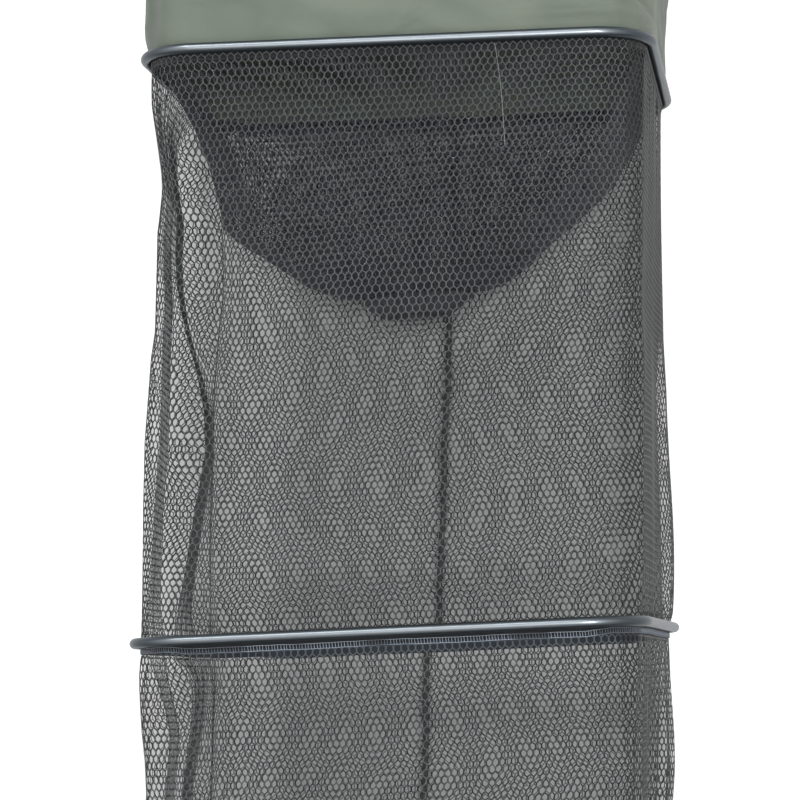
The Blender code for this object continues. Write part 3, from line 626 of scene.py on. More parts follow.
def sleeveSurface(piece):
    upper, lower = ringPlacing(piece["upper"]), ringPlacing(piece["lower"])
    shape, inset, height = sleeveShape, sleeveShape["inset"], piece["height"]

    def place(share, drop):
        share, drop = np.broadcast_arrays(np.asarray(share, float), np.asarray(drop, float))
        t = np.clip(drop, 0, 1)
        x, y, wayX, wayY = aroundRing(share)
        top = toWorld(upper, x + wayX * inset, y + wayY * inset, piece["start"])
        low = toWorld(lower, x + wayX * inset, y + wayY * inset, shape["lowStart"])
        inward, sideways = foldMoves(piece["folds"], share, t)
        fromTop, fromLow = t * height, (1 - t) * height
        sewn = released(fromTop, fromLow, shape["sewnReach"], shape["sewnReach"])
        inward = inward + piece["waist"] * np.sin(np.pi * t**0.7) - piece.get("belly", 0) * sewn
        if "plan" in piece:
            held = released(fromTop, fromLow, shape["planTop"], shape["planLow"])
            behind = y + wayY * inset + ringShape["depth"] / 2 - inset
            inward = inward + held * planMoves(piece["plan"], x, behind, t)
        near = np.exp(-fromTop / shape["gatherTop"])
        near = near + shape["lowGather"] * np.exp(-fromLow / shape["gatherLow"])
        gather = drift(piece["seed"], share, 0.4 * t, piece["gatherTurns"], (1, -1, 0.5, -0.7, 1.2))
        inward = inward + sewn * near * piece["gather"] * gather
        loose = drift(piece["seed"] + 1, share, t, (3, 7, 5, 12), (0.8, -1.3, 1.9, 0.6))
        inward = inward + np.sin(np.pi * t) * piece["loose"] * loose
        if piece.get("overFlap"):
            inward = inward - shape["overFlap"] * np.clip(1 - fromTop / shape["flapReach"], 0, 1)
        point = top + (low - top) * t[..., None]
        point[..., 2] += np.clip(-drop, 0, 1) * height
        way, along = (np.stack([a, b, 0 * a], -1) for a, b in ((wayX, wayY), (-wayY, wayX)))
        return point + way * inward[..., None] - along * sideways[..., None]

    return place


# Shares round the ring that lie evenly along the cloth, for each level of the drop
def evenShares(place, first, last, levels=61, steps=700, grain=241):
    share = np.linspace(first, last, steps + 1)
    points = place(share[None, :], np.linspace(0, 1, levels)[:, None])
    run = np.linalg.norm(np.diff(points, axis=1), axis=2)
    run = np.concatenate([np.zeros((levels, 1)), np.cumsum(run, 1)], 1)
    even = np.linspace(0, 1, grain)
    table = np.array([np.interp(even, r / r[-1], share) for r in run])
    return table, float(run[:, -1].mean())


def lookUp(table, across, drop):
    levels, grain = table.shape
    u = np.clip(across, 0, 1) * (grain - 1)
    v = np.clip(drop, 0, 1) * (levels - 1)
    i, j = np.minimum(v.astype(int), levels - 2), np.minimum(u.astype(int), grain - 2)
    fu, fv = u - j, v - i
    low = table[i, j] * (1 - fu) + table[i, j + 1] * fu
    high = table[i + 1, j] * (1 - fu) + table[i + 1, j + 1] * fu
    return low * (1 - fv) + high * fv


netShape = {
    "pitch": 0.0062,  # across, between the meshes' middles
    "backGather": 1.065,  # the back panel is sewn in a little fuller
    "rowPitch": 0.0058,
    "joint": 0.70,  # of a row, from a mesh's middle to its upper and lower joints
    "jitter": 0.030,
    # Columns lean, most at the back, and rows rise to the right, back and front. Both wander.
    "lean": (0.0045, 0.0095),
    "rise": 0.020,
    "wander": 0.0036,
    "fineWander": 0.0006,
    "rowWander": 0.009,
}
# Thickness, and how far a strut stands out and in. At the sides, seen along, knots show more.
netYarns = {
    "front": {"thread": 0.00100, "rise": 0.00024, "fall": 0.00016},
    "back": {"thread": 0.00132, "rise": 0.00028, "fall": 0.00018},
    "left": {"thread": 0.00142, "rise": 0.00034, "fall": 0.00022},
    "side": {"thread": 0.00122, "rise": 0.00032, "fall": 0.00020},
    "throat": {"thread": 0.00150, "rise": 0.00028, "fall": 0.00018},
}


# Knitted six-sided netting. Each mesh has an upper and a lower joint; three struts meet
# at each joint, and every strut is a low ridge with a flat back.
def knittedMesh(name, place, columns, rows, firstRow=0, yarn="front", seed=1, allowed=None):
    yarn = netYarns[yarn]
    rng = np.random.default_rng(seed)
    r, c = np.meshgrid(np.arange(firstRow, rows + 1), np.arange(columns + 1), indexing="ij")
    odd = r % 2
    count = r.size
    number = np.arange(count).reshape(r.shape)  # lower joints first, then the upper ones
    x = np.tile((c + 0.5 * odd).ravel(), 2)
    y = np.concatenate([(r + netShape["joint"]).ravel(), (r - netShape["joint"]).ravel()])
    inside = (x > 0.2) & (x < columns - 0.2)
    x = x + rng.normal(0, netShape["jitter"], x.size) * inside
    y = y + rng.normal(0, netShape["jitter"], y.size) * inside

    def strut(fine, across, down):
        owner = number[: number.shape[0] - down]
        row, col, p = r[: r.shape[0] - down], c[: c.shape[0] - down], odd[: odd.shape[0] - down]
        target = col + across(p)
        good = fine(p, col) & (target >= 0) & (target <= columns)
        low = owner[good]
        high = number[(row + down - firstRow)[good], target[good]] + count
        if allowed is not None:
            both = allowed(x[low], y[low]) & allowed(x[high], y[high])
            low, high = low[both], high[both]
        return low, high

    plus = strut(lambda p, col: col < columns, lambda p: p, 1)
    minus = strut(lambda p, col: (p == 0) | (col < columns), lambda p: p - 1, 1)
    upright = strut(lambda p, col: col < columns, lambda p: 0 * p, 2)

    used = np.zeros(2 * count, bool)
    for low, high in (plus, minus, upright):
        used[low] = True
        used[high] = True
    kept = np.flatnonzero(used)
    slim = np.full(2 * count, -1)
    slim[kept] = np.arange(len(kept))
    x, y = x[kept], y[kept]
    isLower = kept < count

    step = 0.15
    point = place(x, y)
    across = place(x + step, y) - place(x - step, y)
    down = place(x, y + step) - place(x, y - step)
    across /= np.linalg.norm(across, axis=1)[:, None] + 1e-12
    down -= across * (down * across).sum(1)[:, None]
    down /= np.linalg.norm(down, axis=1)[:, None] + 1e-12
    out = np.cross(down, across)

    reach = yarn["thread"] / math.sqrt(3) * rng.uniform(0.92, 1.1, len(kept))[:, None]
    flip = np.where(isLower, 1.0, -1.0)[:, None] * down
    base = point - out * yarn["fall"]
    ridge = point + out * yarn["rise"]
    # Uprights are two threads twisted, so a joint is wider on their side
    first = base - flip * (0.75 * reach)
    second = base + across * (1.05 * reach) + flip * (0.5 * reach)
    third = base - across * (1.05 * reach) + flip * (0.5 * reach)
    points = np.stack([ridge, first, second, third], 1)

    def at(which, corner):
        return 4 * slim[which] + corner

    quads, tris = [], []

    def quad(*corners):
        quads.append(np.stack(corners, -1))

    low, high = plus
    quad(at(low, 0), at(high, 0), at(high, 3), at(low, 1))
    quad(at(low, 0), at(low, 2), at(high, 1), at(high, 0))
    quad(at(low, 1), at(high, 3), at(high, 1), at(low, 2))
    low, high = minus
    quad(at(low, 0), at(low, 1), at(high, 2), at(high, 0))
    quad(at(low, 0), at(high, 0), at(high, 1), at(low, 3))
    quad(at(low, 1), at(low, 3), at(high, 1), at(high, 2))
    low, high = upright
    quad(at(low, 0), at(high, 0), at(high, 2), at(low, 2))
    quad(at(low, 0), at(low, 3), at(high, 3), at(high, 0))
    quad(at(low, 2), at(high, 2), at(high, 3), at(low, 3))

    lower, upper = kept[isLower], kept[~isLower]
    tris.append(np.stack([at(lower, 1), at(lower, 2), at(lower, 3)], -1))
    tris.append(np.stack([at(upper, 1), at(upper, 3), at(upper, 2)], -1))
    # Ends where a strut is missing are closed
    for (lowEnds, highEnds), lowCorners, highCorners in (
        (plus, (1, 0, 2), (0, 3, 1)),
        (minus, (0, 1, 3), (2, 0, 1)),
        (upright, (2, 0, 3), (0, 2, 3)),
    ):
        for joints, ends, corners in ((lower, lowEnds, lowCorners), (upper, highEnds, highCorners)):
            bare = joints[~np.isin(joints, ends)]
            tris.append(np.stack([at(bare, k) for k in corners], -1))
    return meshFrom(name, points, [np.concatenate(quads), np.concatenate(tris)])


# The threads' own share of the netting's area
def threadShare(yarn="front"):
    thread = netYarns[yarn]["thread"]
    slant = math.hypot(netShape["pitch"] / 2, netShape["rowPitch"] * (2 * netShape["joint"] - 1))
    run = 2 * slant + netShape["rowPitch"] * 2 * (1 - netShape["joint"])
    return 1.08 * run * thread / (netShape["pitch"] * netShape["rowPitch"])


# Copies of one netting yarn, lit and shaded in paint: the front panel's colours are painted lighter, as if
# lit, and the back, left and side panels' are painted darker, as shade. The side copy also goes on the base
# netting and the seams.
netLook = {
    "front": ("front_netting_painted_lit", (0.066, 0.076, 0.078), (0.142, 0.158, 0.157), (0.142, 0.137, 0.121)),
    "side": ("side_netting_painted_shade", (0.018, 0.021, 0.022), (0.052, 0.058, 0.057), (0.056, 0.053, 0.046)),
    "left": ("shaded_left_netting", (0.013, 0.016, 0.018), (0.038, 0.044, 0.045), (0.042, 0.041, 0.036)),
    "back": ("back_netting_painted_shade", (0.009, 0.012, 0.013), (0.026, 0.031, 0.032), (0.030, 0.029, 0.026)),
    "throat": ("dark_throat_netting", (0.008, 0.011, 0.017), (0.030, 0.038, 0.048), (0.030, 0.038, 0.048)),
}


def nettingFinish(name, deep, pale, warm):
    made = Finish(name, Roughness=0.72, Sheen_Weight=0.15)
    yarn = made.noise(1400, 3)
    patch = made.noise(38, 4)
    slow = made.noise(7, 2)
    mask = (0.55 * yarn + 0.45 * patch + 0.5 * slow).between(0.45, 1.05)
    colour = made.mixed(mask, deep, pale)
    colour = made.mixed(made.noise(16, 3).between(0.56, 0.75) * 0.5, colour, warm)
    made.feed("Base Color", colour)
    made.relief(yarn, 0.0001)
    return made


netFinishes = {yarn: nettingFinish(*look) for yarn, look in netLook.items()}
panelYarns = {"front": "front", "right": "side", "back": "back", "left": "left"}

netCut = {"height": 0.490, "start": -0.0086, "gather": 0.0022}  # the same for all three sections
netSections = [
    {
        **netCut,
        "node": "net_section_1",
        "upper": "ring_2",
        "lower": "ring_3",
        "joint": "ring_3_slide",
        "waist": 0.0012,
        "loose": 0.0012,
        "gatherTurns": (29, 41, 53, 67, 19),
        "seed": 11,
        "overFlap": True,
        "firstRow": -2,
        "folds": [
            (0.470, 0.460, 0.050, 0.006, 0.0),
            (0.350, 0.350, 0.100, -0.0055, 0.0, 0.86, 0.20),
        ],
        "plan": {
            "left": [
                (0.008, (-1.4, -1.5, -6.9, -9.0, -19.6, 12.1, 2.0)),
                (0.064, (-0.2, -0.1, -7.4, -9.7, -24.2, 12.5, 2.6)),
                (0.120, (4.6, 3.2, -4.2, -6.4, -22.9, 13.9, 4.4)),
                (0.213, (11.5, 9.4, 2.2, 0.0, -16.3, 14.7, 5.3)),
                (0.287, (6.1, 6.5, -0.8, -1.2, -17.6, 15.3, 6.0)),
                (0.342, (5.8, 7.0, -0.3, 0.2, -16.1, 14.8, 5.4)),
                (0.397, (5.4, 8.4, 1.1, 4.4, -11.8, 11.4, 1.1)),
                (0.462, (5.1, 7.2, -0.2, 12.3, -3.6, 9.1, -1.9)),
                (0.507, (2.1, 6.7, -0.7, 19.1, 3.4, 7.5, -3.9)),
                (0.581, (0.2, 6.5, -0.9, 26.2, 10.7, 6.2, -5.5)),
                (0.654, (-1.7, 6.3, -1.1, 27.7, 12.3, 5.9, -6.0)),
                (0.763, (-1.6, 2.9, -4.7, 18.6, 2.8, 3.9, -8.5)),
                (0.835, (-0.9, 1.8, -5.8, 13.7, -2.3, 3.6, -9.0)),
                (0.943, (0.1, 0.1, -7.6, 6.5, -9.9, 3.5, -9.0)),
            ],
            "right": [
                (0.45, (0.0, 0.0, 0.0, 0.0, 0.0, 0.0, 0.0)),
                (0.55, (-3.5, -2.7, -1.3, -1.0, 3.5, -2.5, -1.0)),
                (0.95, (-3.5, -2.7, -1.3, -1.0, 3.5, -2.5, -1.0)),
            ],
        },
    },
    {
        **netCut,
        "node": "net_section_2",
        "upper": "ring_3",
        "lower": "ring_4",
        "joint": "ring_4_slide",
        "waist": 0.0005,
        "loose": 0.0015,
        "gatherTurns": (31, 37, 59, 71, 23),
        "seed": 21,
        "folds": [
            (0.150, 0.160, 0.013, 0.006, 0.012),
            (0.172, 0.155, 0.014, 0.006, -0.011),
            (0.240, 0.255, 0.040, 0.008, 0.0),
            (0.290, 0.280, 0.015, 0.007, 0.013),
            (0.322, 0.330, 0.014, 0.006, -0.012),
            (0.550, 0.520, 0.050, 0.007, 0.0),
            (0.350, 0.350, 0.100, -0.0085, 0.0, 0.23, 0.15),
        ],
        "plan": {
            "left": [
                (0.024, (-3.2, 8.1, 0.6, 23.8, 10.2, 8.2, -1.0)),
                (0.085, (-0.9, 14.9, 7.5, 20.7, 6.9, 7.7, -1.5)),
                (0.141, (1.3, 20.6, 13.4, 18.4, 4.6, 7.3, -2.2)),
                (0.192, (4.3, 19.4, 12.0, 15.2, 1.3, 7.7, -1.6)),
                (0.246, (5.6, 17.2, 9.8, 12.1, -2.0, 7.2, -2.3)),
                (0.500, (3.0, 10.0, 1.0, 14.0, 0.0, 9.0, 2.0)),
                (0.800, (0.0, 5.0, -4.0, 9.0, -5.0, 7.0, 0.0)),
            ],
        },
    },
    {
        **netCut,
        "node": "net_section_3",
        "upper": "ring_4",
        "lower": "base_ring",
        "joint": "base_slide",
        "waist": 0.0020,
        "loose": 0.0035,
        "gatherTurns": (27, 43, 61, 73, 21),
        "seed": 31,
        "folds": [
            (0.140, 0.125, 0.020, 0.009, 0.010),
            (0.178, 0.190, 0.020, 0.012, -0.013),
            (0.235, 0.250, 0.040, 0.012, 0.0),
            (0.320, 0.310, 0.022, 0.011, 0.013),
            (0.480, 0.500, 0.050, 0.007, 0.0),
            (0.660, 0.645, 0.020, 0.010, 0.012),
            (0.730, 0.755, 0.036, 0.013, 0.0),
            (0.800, 0.815, 0.020, 0.012, 0.014),
            (0.876, 0.862, 0.018, 0.010, -0.012),
        ],
    },
]

sleevePlaces = {}
for section in netSections:
    place = sleevePlaces[section["node"]] = sleeveSurface(section)
    rows = round(section["height"] / netShape["rowPitch"])
    section["pieces"], counts = [], []
    for k, (side, yarn) in enumerate(panelYarns.items()):
        first = cornerShares[k - 1] - (1 if k == 0 else 0)
        table, length = evenShares(place, first, cornerShares[k])
        gathered = netShape["backGather"] if side == "back" else 1.0
        columns = round(gathered * length / netShape["pitch"])

        def onSleeve(x, y, table=table, columns=columns):
            drop = y / rows
            share = lookUp(table, x / columns, drop)
            free = np.clip(5 * drop * (1 - drop), 0, 1)
            turn, seed, shape = 2 * np.pi * share, section["seed"], netShape
            lean = (shape["lean"][0] - shape["lean"][1] * np.cos(turn)) * (drop - 0.5)
            wander = drift(seed + 5, share, drop, (2, 3, 5), (1.3, -2.1, 2.6))
            fine = drift(seed + 6, share, drop, (9, 15, 21), (5, 8, -11))
            sag = drift(seed + 7, share, drop, (2, 3, 5), (1.1, -1.7, 2.3))
            sideways = free * (lean + shape["wander"] * wander) + shape["fineWander"] * fine
            down = free * (shape["rowWander"] * sag - shape["rise"] * np.sin(turn))
            return place(share + sideways, drop + down)

        name = f"{section['node']}_{side}"
        firstRow, seed = section.get("firstRow", 0), section["seed"] + k
        mesh = knittedMesh(name, onSleeve, columns, rows, firstRow, yarn, seed)
        piece = addPiece(name, mesh, netFinishes[yarn], section["upper"], [section["node"]])
        flat = (columns * netShape["pitch"], rows * netShape["rowPitch"])
        threadShare(yarn) * flat[0] * flat[1]
        section["pieces"].append(piece)
        counts.append((columns, len(mesh.polygons)))
    print(section["node"], counts)


# Throat: the same netting in a darker yarn, a funnel from ring 2 to its gathered hem
throatShape = {
    "inset": 0.0071,
    "top": -0.0024,
    "neck": -0.193,
    "end": -0.199,
    "bend": 0.965,  # share of the way down at the neck
    "radius": 0.0500,
    "pleats": (0.017, 0.009),  # wide and fine ones
    "gathered": (0.86, 0.72),  # from here down the hem takes this much of their depth
    "tilt": 0.07,  # the hem hangs lower on the left
    "rows": 41,
    "columns": 236,
    # How much of the ring's outline is left, for shares of the way down; the left side bags
    "down": (0, 0.09, 0.19, 0.29, 0.38, 0.46, 0.57, 0.70, 0.75, 0.80, 0.85, 0.90, 0.95, 0.98, 1),
    "plain": (
        1, 0.945, 0.890, 0.835, 0.785, 0.732, 0.625, 0.475,
        0.420, 0.364, 0.315, 0.262, 0.185, 0.110, 0,
    ),
    "left": (
        1, 0.920, 0.866, 0.808, 0.775, 0.748, 0.728, 0.712,
        0.640, 0.520, 0.445, 0.350, 0.220, 0.130, 0,
    ),
}
throatUpper = ringPlacing("ring_2")


def throatPleats(share, t):
    start, taken = throatShape["gathered"]
    deep = t**1.5 * (1 - taken * np.clip((t - start) / (1 - start), 0, 1))
    wide = drift(71, share, 0.25 * t, (7, 11, 16), (1, -1, 0.5))
    fine = drift(72, share, 0.15 * t, (23, 31, 38), (1, -1, 0.5))
    return deep * (throatShape["pleats"][0] * wide + throatShape["pleats"][1] * fine)


def throatPlace(share, drop):
    shape = throatShape
    share, drop = np.broadcast_arrays(np.asarray(share, float), np.asarray(drop, float))
    t = np.clip(drop, 0, 1)
    bend, neck = shape["bend"], shape["neck"]
    funnel = np.clip(t / bend, 0, 1)
    leftSide = bump(((share + 0.5) % 1.0 - 0.27) / 0.24)
    plain, left = (np.interp(funnel, shape["down"], shape[side]) for side in ("plain", "left"))
    shrink = plain + (left - plain) * leftSide
    height = shape["top"] + (neck - shape["top"]) * funnel
    height = np.where(t > bend, neck + (shape["end"] - neck) * (t - bend) / (1 - bend), height)
    x, y, wayX, wayY = aroundRing(share)
    angle = 2 * np.pi * share - np.pi / 2
    endX, endY = np.cos(angle), np.sin(angle)
    radius = shape["radius"] + throatPleats(share, t)
    px = endX * radius * (1 - shrink) + (x + wayX * shape["inset"]) * shrink
    py = endY * radius * (1 - shrink) + (y + wayY * shape["inset"]) * shrink
    return toWorld(throatUpper, px, py, height + shape["tilt"] * px * t**3)


# Levels of the throat that lie evenly down its side
def evenDrops(place, share=0.1, steps=400):
    drops = np.linspace(0, 1, steps + 1)
    run = runAlong(place(share, drops))
    return drops, run / run[-1], float(run[-1])


throatDrops, throatRun, throatSide = evenDrops(throatPlace)
throatPieces = []
for side, first, last in (("front", -0.25, 0.25), ("back", 0.25, 0.75)):
    table, length = evenShares(throatPlace, first, last)
    columns = throatShape["columns"] // 2

    def onThroat(x, y, table=table, columns=columns):
        drop = np.interp(y / throatShape["rows"], throatRun, throatDrops)
        return throatPlace(lookUp(table, x / columns, drop), drop)

    name = f"throat_net_{side}"
    mesh = knittedMesh(name, onThroat, columns, throatShape["rows"], 0, "throat", 80 + len(side))
    piece = addPiece(name, mesh, netFinishes["throat"], "ring_2", ["throat_net"])
    flat = (columns * netShape["pitch"], throatShape["rows"] * netShape["rowPitch"])
    0.82 * threadShare("throat") * flat[0] * flat[1]
    throatPieces.append(piece)
print("throat", round(throatSide, 4), [len(p.data.polygons) for p in throatPieces])

throatHemShape = {
    "outer": 0.0406,
    "wall": 0.0012,
    "channel": 0.0036,
    "top": -0.1993,
    "height": 0.015,
    "stations": 360,
    "elastic": 0.0015,
    "flare": (0.0098, -0.0105),  # the gathered band goes on narrowing, from its top to its bottom
    "ruffle": 0.0022,
    "ribPitch": 0.0008,
}


def throatRuffle(angle, height):
    share = (angle / (2 * np.pi)) % 1
    return throatHemShape["ruffle"] * drift(90, share, 30 * height, (26, 33, 41), (0.3, -0.2, 0.4))


def throatFlare(height):
    top = throatHemShape["top"]
    return np.interp(height, (top - throatHemShape["height"], top), throatHemShape["flare"][::-1])


# Points round the hem, which hangs lower on the left
def throatHemPoints(angle, radius, height):
    px = radius * np.cos(angle)
    return toWorld(throatUpper, px, radius * np.sin(angle), height + throatShape["tilt"] * px)


def throatHemFinish():
    made = Finish("gathered_throat_hem", Roughness=0.85, Sheen_Weight=0.2)
    ribs = made.ribs("along", throatHemShape["ribPitch"])
    streak = made.noise(1.0, 3, made.joined(made.attribute("along") * 260, made.attribute("around") * 3))
    mask = (0.4 * ribs + 0.5 * made.noise(600, 3) + 1.3 * (streak - 0.5)).between(0.35, 1.3)
    made.feed("Base Color", made.mixed(mask, (0.010, 0.014, 0.021), (0.090, 0.110, 0.130)))
    made.relief(ribs + streak, 0.0004)
    return made


def throatBand():
    shape = throatHemShape
    outer, wall = shape["outer"], shape["wall"]
    inner = outer - 2 * wall - shape["channel"]
    top, bottom = shape["top"], shape["top"] - shape["height"]
    tuck = bottom + shape["height"] / 2
    floor = bottom + wall
    section = [(outer, z) for z in np.linspace(top, bottom + 0.0006, 7)]
    section += [(outer - 0.0006, bottom), (inner + 0.0006, bottom)]
    section += [(inner, z) for z in np.linspace(bottom + 0.0006, tuck, 5)]
    section += [(inner + wall, z) for z in np.linspace(tuck, floor, 4)]
    section += [(outer - wall, z) for z in np.linspace(floor, top, 6)]
    section = np.array(section)
    angle = np.linspace(0, 2 * np.pi, shape["stations"], endpoint=False)[:, None]
    height = section[None, :, 1]
    radius = section[None, :, 0] + throatFlare(height) + throatRuffle(angle, height - top)
    band = sweptMesh("throat_hem_gathered", throatHemPoints(angle, radius, height))
    middle = outer - wall - shape["channel"] / 2
    seat = floor + 0.0003 + shape["elastic"]
    ring = arc(shape["elastic"], 0, 5.5, 8)
    radius = middle + throatFlare(seat) + ring[None, :, 0] + throatRuffle(angle, seat - top)
    return band, sweptMesh("throat_elastic_fine", throatHemPoints(angle, radius, seat + ring[None, :, 1]))


bandMesh, elasticMesh = throatBand()
throatPieces += [
    addPiece("throat_hem_gathered", bandMesh, throatHemFinish(), "ring_2", ["throat_hem"]),
    addPiece("throat_elastic_fine", elasticMesh, cordBraid, "ring_2", ["throat_elastic"]),
]
print("throat hem done")


# Base: flat netting that hangs a little in the middle
baseShape = {"inset": 0.0066, "height": -0.0086, "sag": 0.006, "ripple": 0.0012}
basePlacing = ringPlacing("base_ring")
baseHalfX = ringShape["width"] / 2 - baseShape["inset"]
baseHalfY = ringShape["depth"] / 2 - baseShape["inset"]
baseColumns = round(2 * baseHalfX / netShape["pitch"])
baseRows = round(2 * baseHalfY / netShape["rowPitch"])


def onBase(x, y):
    px = (x / baseColumns * 2 - 1) * baseHalfX
    py = (1 - y / baseRows * 2) * baseHalfY
    sag = np.clip(1 - (px / baseHalfX) ** 2, 0, 1) * np.clip(1 - (py / baseHalfY) ** 2, 0, 1)
    ripple = baseShape["ripple"] * drift(95, px * 3, py * 3, (2, 3, 1), (1, -2, 3)) * np.minimum(1, 4 * sag)
    return toWorld(basePlacing, px, py, baseShape["height"] - baseShape["sag"] * sag + ripple)


def insideBase(x, y):
    rounding = ringShape["corner"] - baseShape["inset"]
    px = abs((x / baseColumns * 2 - 1) * baseHalfX) - baseHalfX + rounding
    py = abs((1 - y / baseRows * 2) * baseHalfY) - baseHalfY + rounding
    return np.hypot(np.maximum(px, 0), np.maximum(py, 0)) <= rounding


baseMesh = knittedMesh("base_netting", onBase, baseColumns, baseRows, 0, seed=99, allowed=insideBase)
basePiece = addPiece("base_netting", baseMesh, netFinishes["side"], "base_ring", ["base_net"])
threadShare() * 4 * baseHalfX * baseHalfY
print("base", baseColumns, baseRows, len(baseMesh.polygons))


# Seams: the sleeves' joining seam, a folded tape down the back
seamShape = {
    "width": 0.0056,
    "thickness": 0.0010,
    "stations": 140,
    "thread": 0.00050,
    "swing": 0.0052,
    "uneven": (0.35, 1.35),
}
# Where the seams start and end, as shares of the way round the ring
seamShares = {
    "net_section_1": (0.488, 0.5045),
    "net_section_2": (0.512, 0.507),
    "net_section_3": (0.508, 0.500),
}


# The way in as vectors, for shares of the way round
def ringWay(share):
    x, y, wayX, wayY = aroundRing(share)
    return np.stack([wayX, wayY, 0 * wayX], -1)


def seamLine(place, ends, lift, offset, steps):
    drop = np.linspace(0.004, 0.996, steps)
    wobble = 0.0004 * np.sin(7.3 * drop * np.pi) + 0.0002 * np.sin(23 * drop * np.pi)
    share = ends[0] + (ends[1] - ends[0]) * drop + wobble + offset / ringLength
    return place(share, drop) + ringWay(share) * lift


seamPieces = {}
for section in netSections:
    place, ends = sleevePlaces[section["node"]], seamShares[section["node"]]
    half, thick = seamShape["width"] / 2, seamShape["thickness"]
    lines = []
    for offset, lift in (
        (-half, 0.0006),
        (-half * 0.5, 0.0010 + thick),
        (half * 0.2, 0.0007 + thick),
        (half, 0.0006 + thick * 0.6),
        (half, 0.0005),
        (0, 0.0004),
    ):
        lines.append(seamLine(place, ends, lift, offset, seamShape["stations"]))
    rows = np.stack(lines, 1)[:, ::-1]
    name, finish = f"{section['node']}_seam", netFinishes["side"]
    band = sweptMesh(name, rows, closed=False)
    tape = addPiece(name, band, finish, section["upper"])
    paths = []
    for lift, steps, slide in ((0.0006, 236, 0.0), (0.0016 + thick, 262, 0.0006), (0.0012, 181, -0.0008)):
        zig = seamLine(place, ends, lift, slide, steps)
        reach = seamShape["swing"] * np.random.default_rng(steps).uniform(*seamShape["uneven"], steps)
        turns = np.where(np.arange(steps) % 2 == 0, 1, -1) * reach
        paths.append(zig + turns[:, None] * np.array([1, 0, 0]))
    stitch = threadMesh(f"{name}_stitch", paths, seamShape["thread"])
    thread = addPiece(f"{name}_stitch", stitch, finish, section["upper"])
    seamPieces[section["node"]] = [tape, thread]
print("seams done")


# Loose thread ends: one down the front under ring 2, some frayed ones at its right corner
looseThreads = {
    "radius": 0.00022,
    "frontShare": 0.0612,
    "frontLength": 0.084,
    "clothLength": 0.489,
    "frontSway": 0.0075,
    "frontLift": (0.0012, 0.0008),
    "frayShare": 0.158,
    "frays": 9,
    "frayRadius": 0.00016,
}


def strayPath():
    drop = np.linspace(-0.008, looseThreads["frontLength"] / looseThreads["clothLength"], 40)
    sway = looseThreads["frontSway"] * (drop - drop[0]) / 0.19 + 0.0006 * np.sin(22 * drop)
    front = sleevePlaces["net_section_1"](looseThreads["frontShare"] + sway, drop)
    lift, wave = looseThreads["frontLift"]
    front[:, 1] -= lift + wave * np.sin(np.linspace(0, 9, 40))
    return front


def frayPaths():
    rng = np.random.default_rng(5)
    placing = ringPlacing("ring_2")
    paths = []
    for k in range(looseThreads["frays"]):
        share = looseThreads["frayShare"] + rng.uniform(-0.006, 0.010)
        start = ringPoint(placing, share, 0.0045, 0.0035 + rng.uniform(0, 0.012))
        out = -ringWay(share)
        length = rng.uniform(0.007, 0.016)
        t = np.linspace(0, 1, 8)[:, None]
        curl = rng.uniform(-1, 1, 3) * 0.003
        fall = np.array([0, 0, -1.0]) * length * 0.5 * t**2
        paths.append(start + out * (length * 0.6) * t + fall + curl * np.sin(3 * t))
    return paths


strayMesh = threadMesh("stray_thread", [strayPath()], looseThreads["radius"])
stray = addPiece("stray_thread", strayMesh, looseThread, "ring_2")
frayMesh = threadMesh("frayed_ends", frayPaths(), looseThreads["frayRadius"], 3)
addPiece("frayed_ends", frayMesh, looseThread, "ring_2")


# Collar: thin coated cloth, softly wrinkled, tighter just above ring 2
collarShape = {
    "upper": "mouth_ring",
    "lower": "ring_2",
    "height": 0.349,
    "start": -0.0098,
    "waist": 0.0,
    "belly": 0.0066,
    "loose": 0.003,
    "gather": 0.0030,
    "gatherTurns": (13, 19, 29, 37, 9),
    "seed": 51,
    "folds": [
        (0.06, 0.11, 0.035, 0.007, 0.0),
        (0.27, 0.24, 0.045, 0.009, 0.0),
        (0.52, 0.55, 0.040, 0.008, 0.0),
        (0.74, 0.77, 0.045, 0.009, 0.0),
        (0.93, 0.90, 0.035, 0.006, 0.0),
        (0.145, 0.150, 0.020, 0.004, 0.0, 0.9, 0.25),
        (0.853, 0.850, 0.020, 0.003, 0.0, 0.95, 0.22),
        (0.352, 0.352, 0.060, 0.0065, 0.0, 0.86, 0.13),
    ],
    "thickness": 0.0008,
    "creases": 46,
    "creaseDepth": 0.0034,
    "softDepth": 0.0028,
    "across": 720,
    "down": 150,
}
collarLook = {
    "colour": (0.165, 0.198, 0.158),
    "pale": (0.235, 0.268, 0.215),
    "dark": (0.085, 0.112, 0.086),
    "weave": 0.0009,
    "shadedCornerAt": 0.852,  # painted shade down the front's left corner, as a share of the way round
    "shadedCornerReach": 0.030,
}


def collarWrinkles(share, drop):
    creases = 0.0
    rng = np.random.default_rng(53)
    for k in range(collarShape["creases"]):
        centre, level = rng.random(), rng.uniform(0.05, 1.0) ** 0.6
        slant, long, wide = rng.uniform(-0.9, 0.9), rng.uniform(0.02, 0.055), rng.uniform(0.0022, 0.005)
        u = ((share - centre + 0.5) % 1 - 0.5) * ringLength
        v = (drop - level) * collarShape["height"]
        alongCrease = u * math.cos(slant) + v * math.sin(slant)
        acrossCrease = -u * math.sin(slant) + v * math.cos(slant)
        shape = np.exp(-((alongCrease / long) ** 2) - (acrossCrease / wide) ** 2)
        deep = collarShape["creaseDepth"]
        creases = creases + rng.uniform(-deep, deep) * shape
    soft = collarShape["softDepth"] * drift(54, share, drop, (21, 33, 17, 45), (2.1, -3.4, 4.2, 1.3))
    return (creases + soft) * np.clip(6 * np.sin(np.pi * np.clip(drop, 0.0, 1.0)), 0.0, 1)


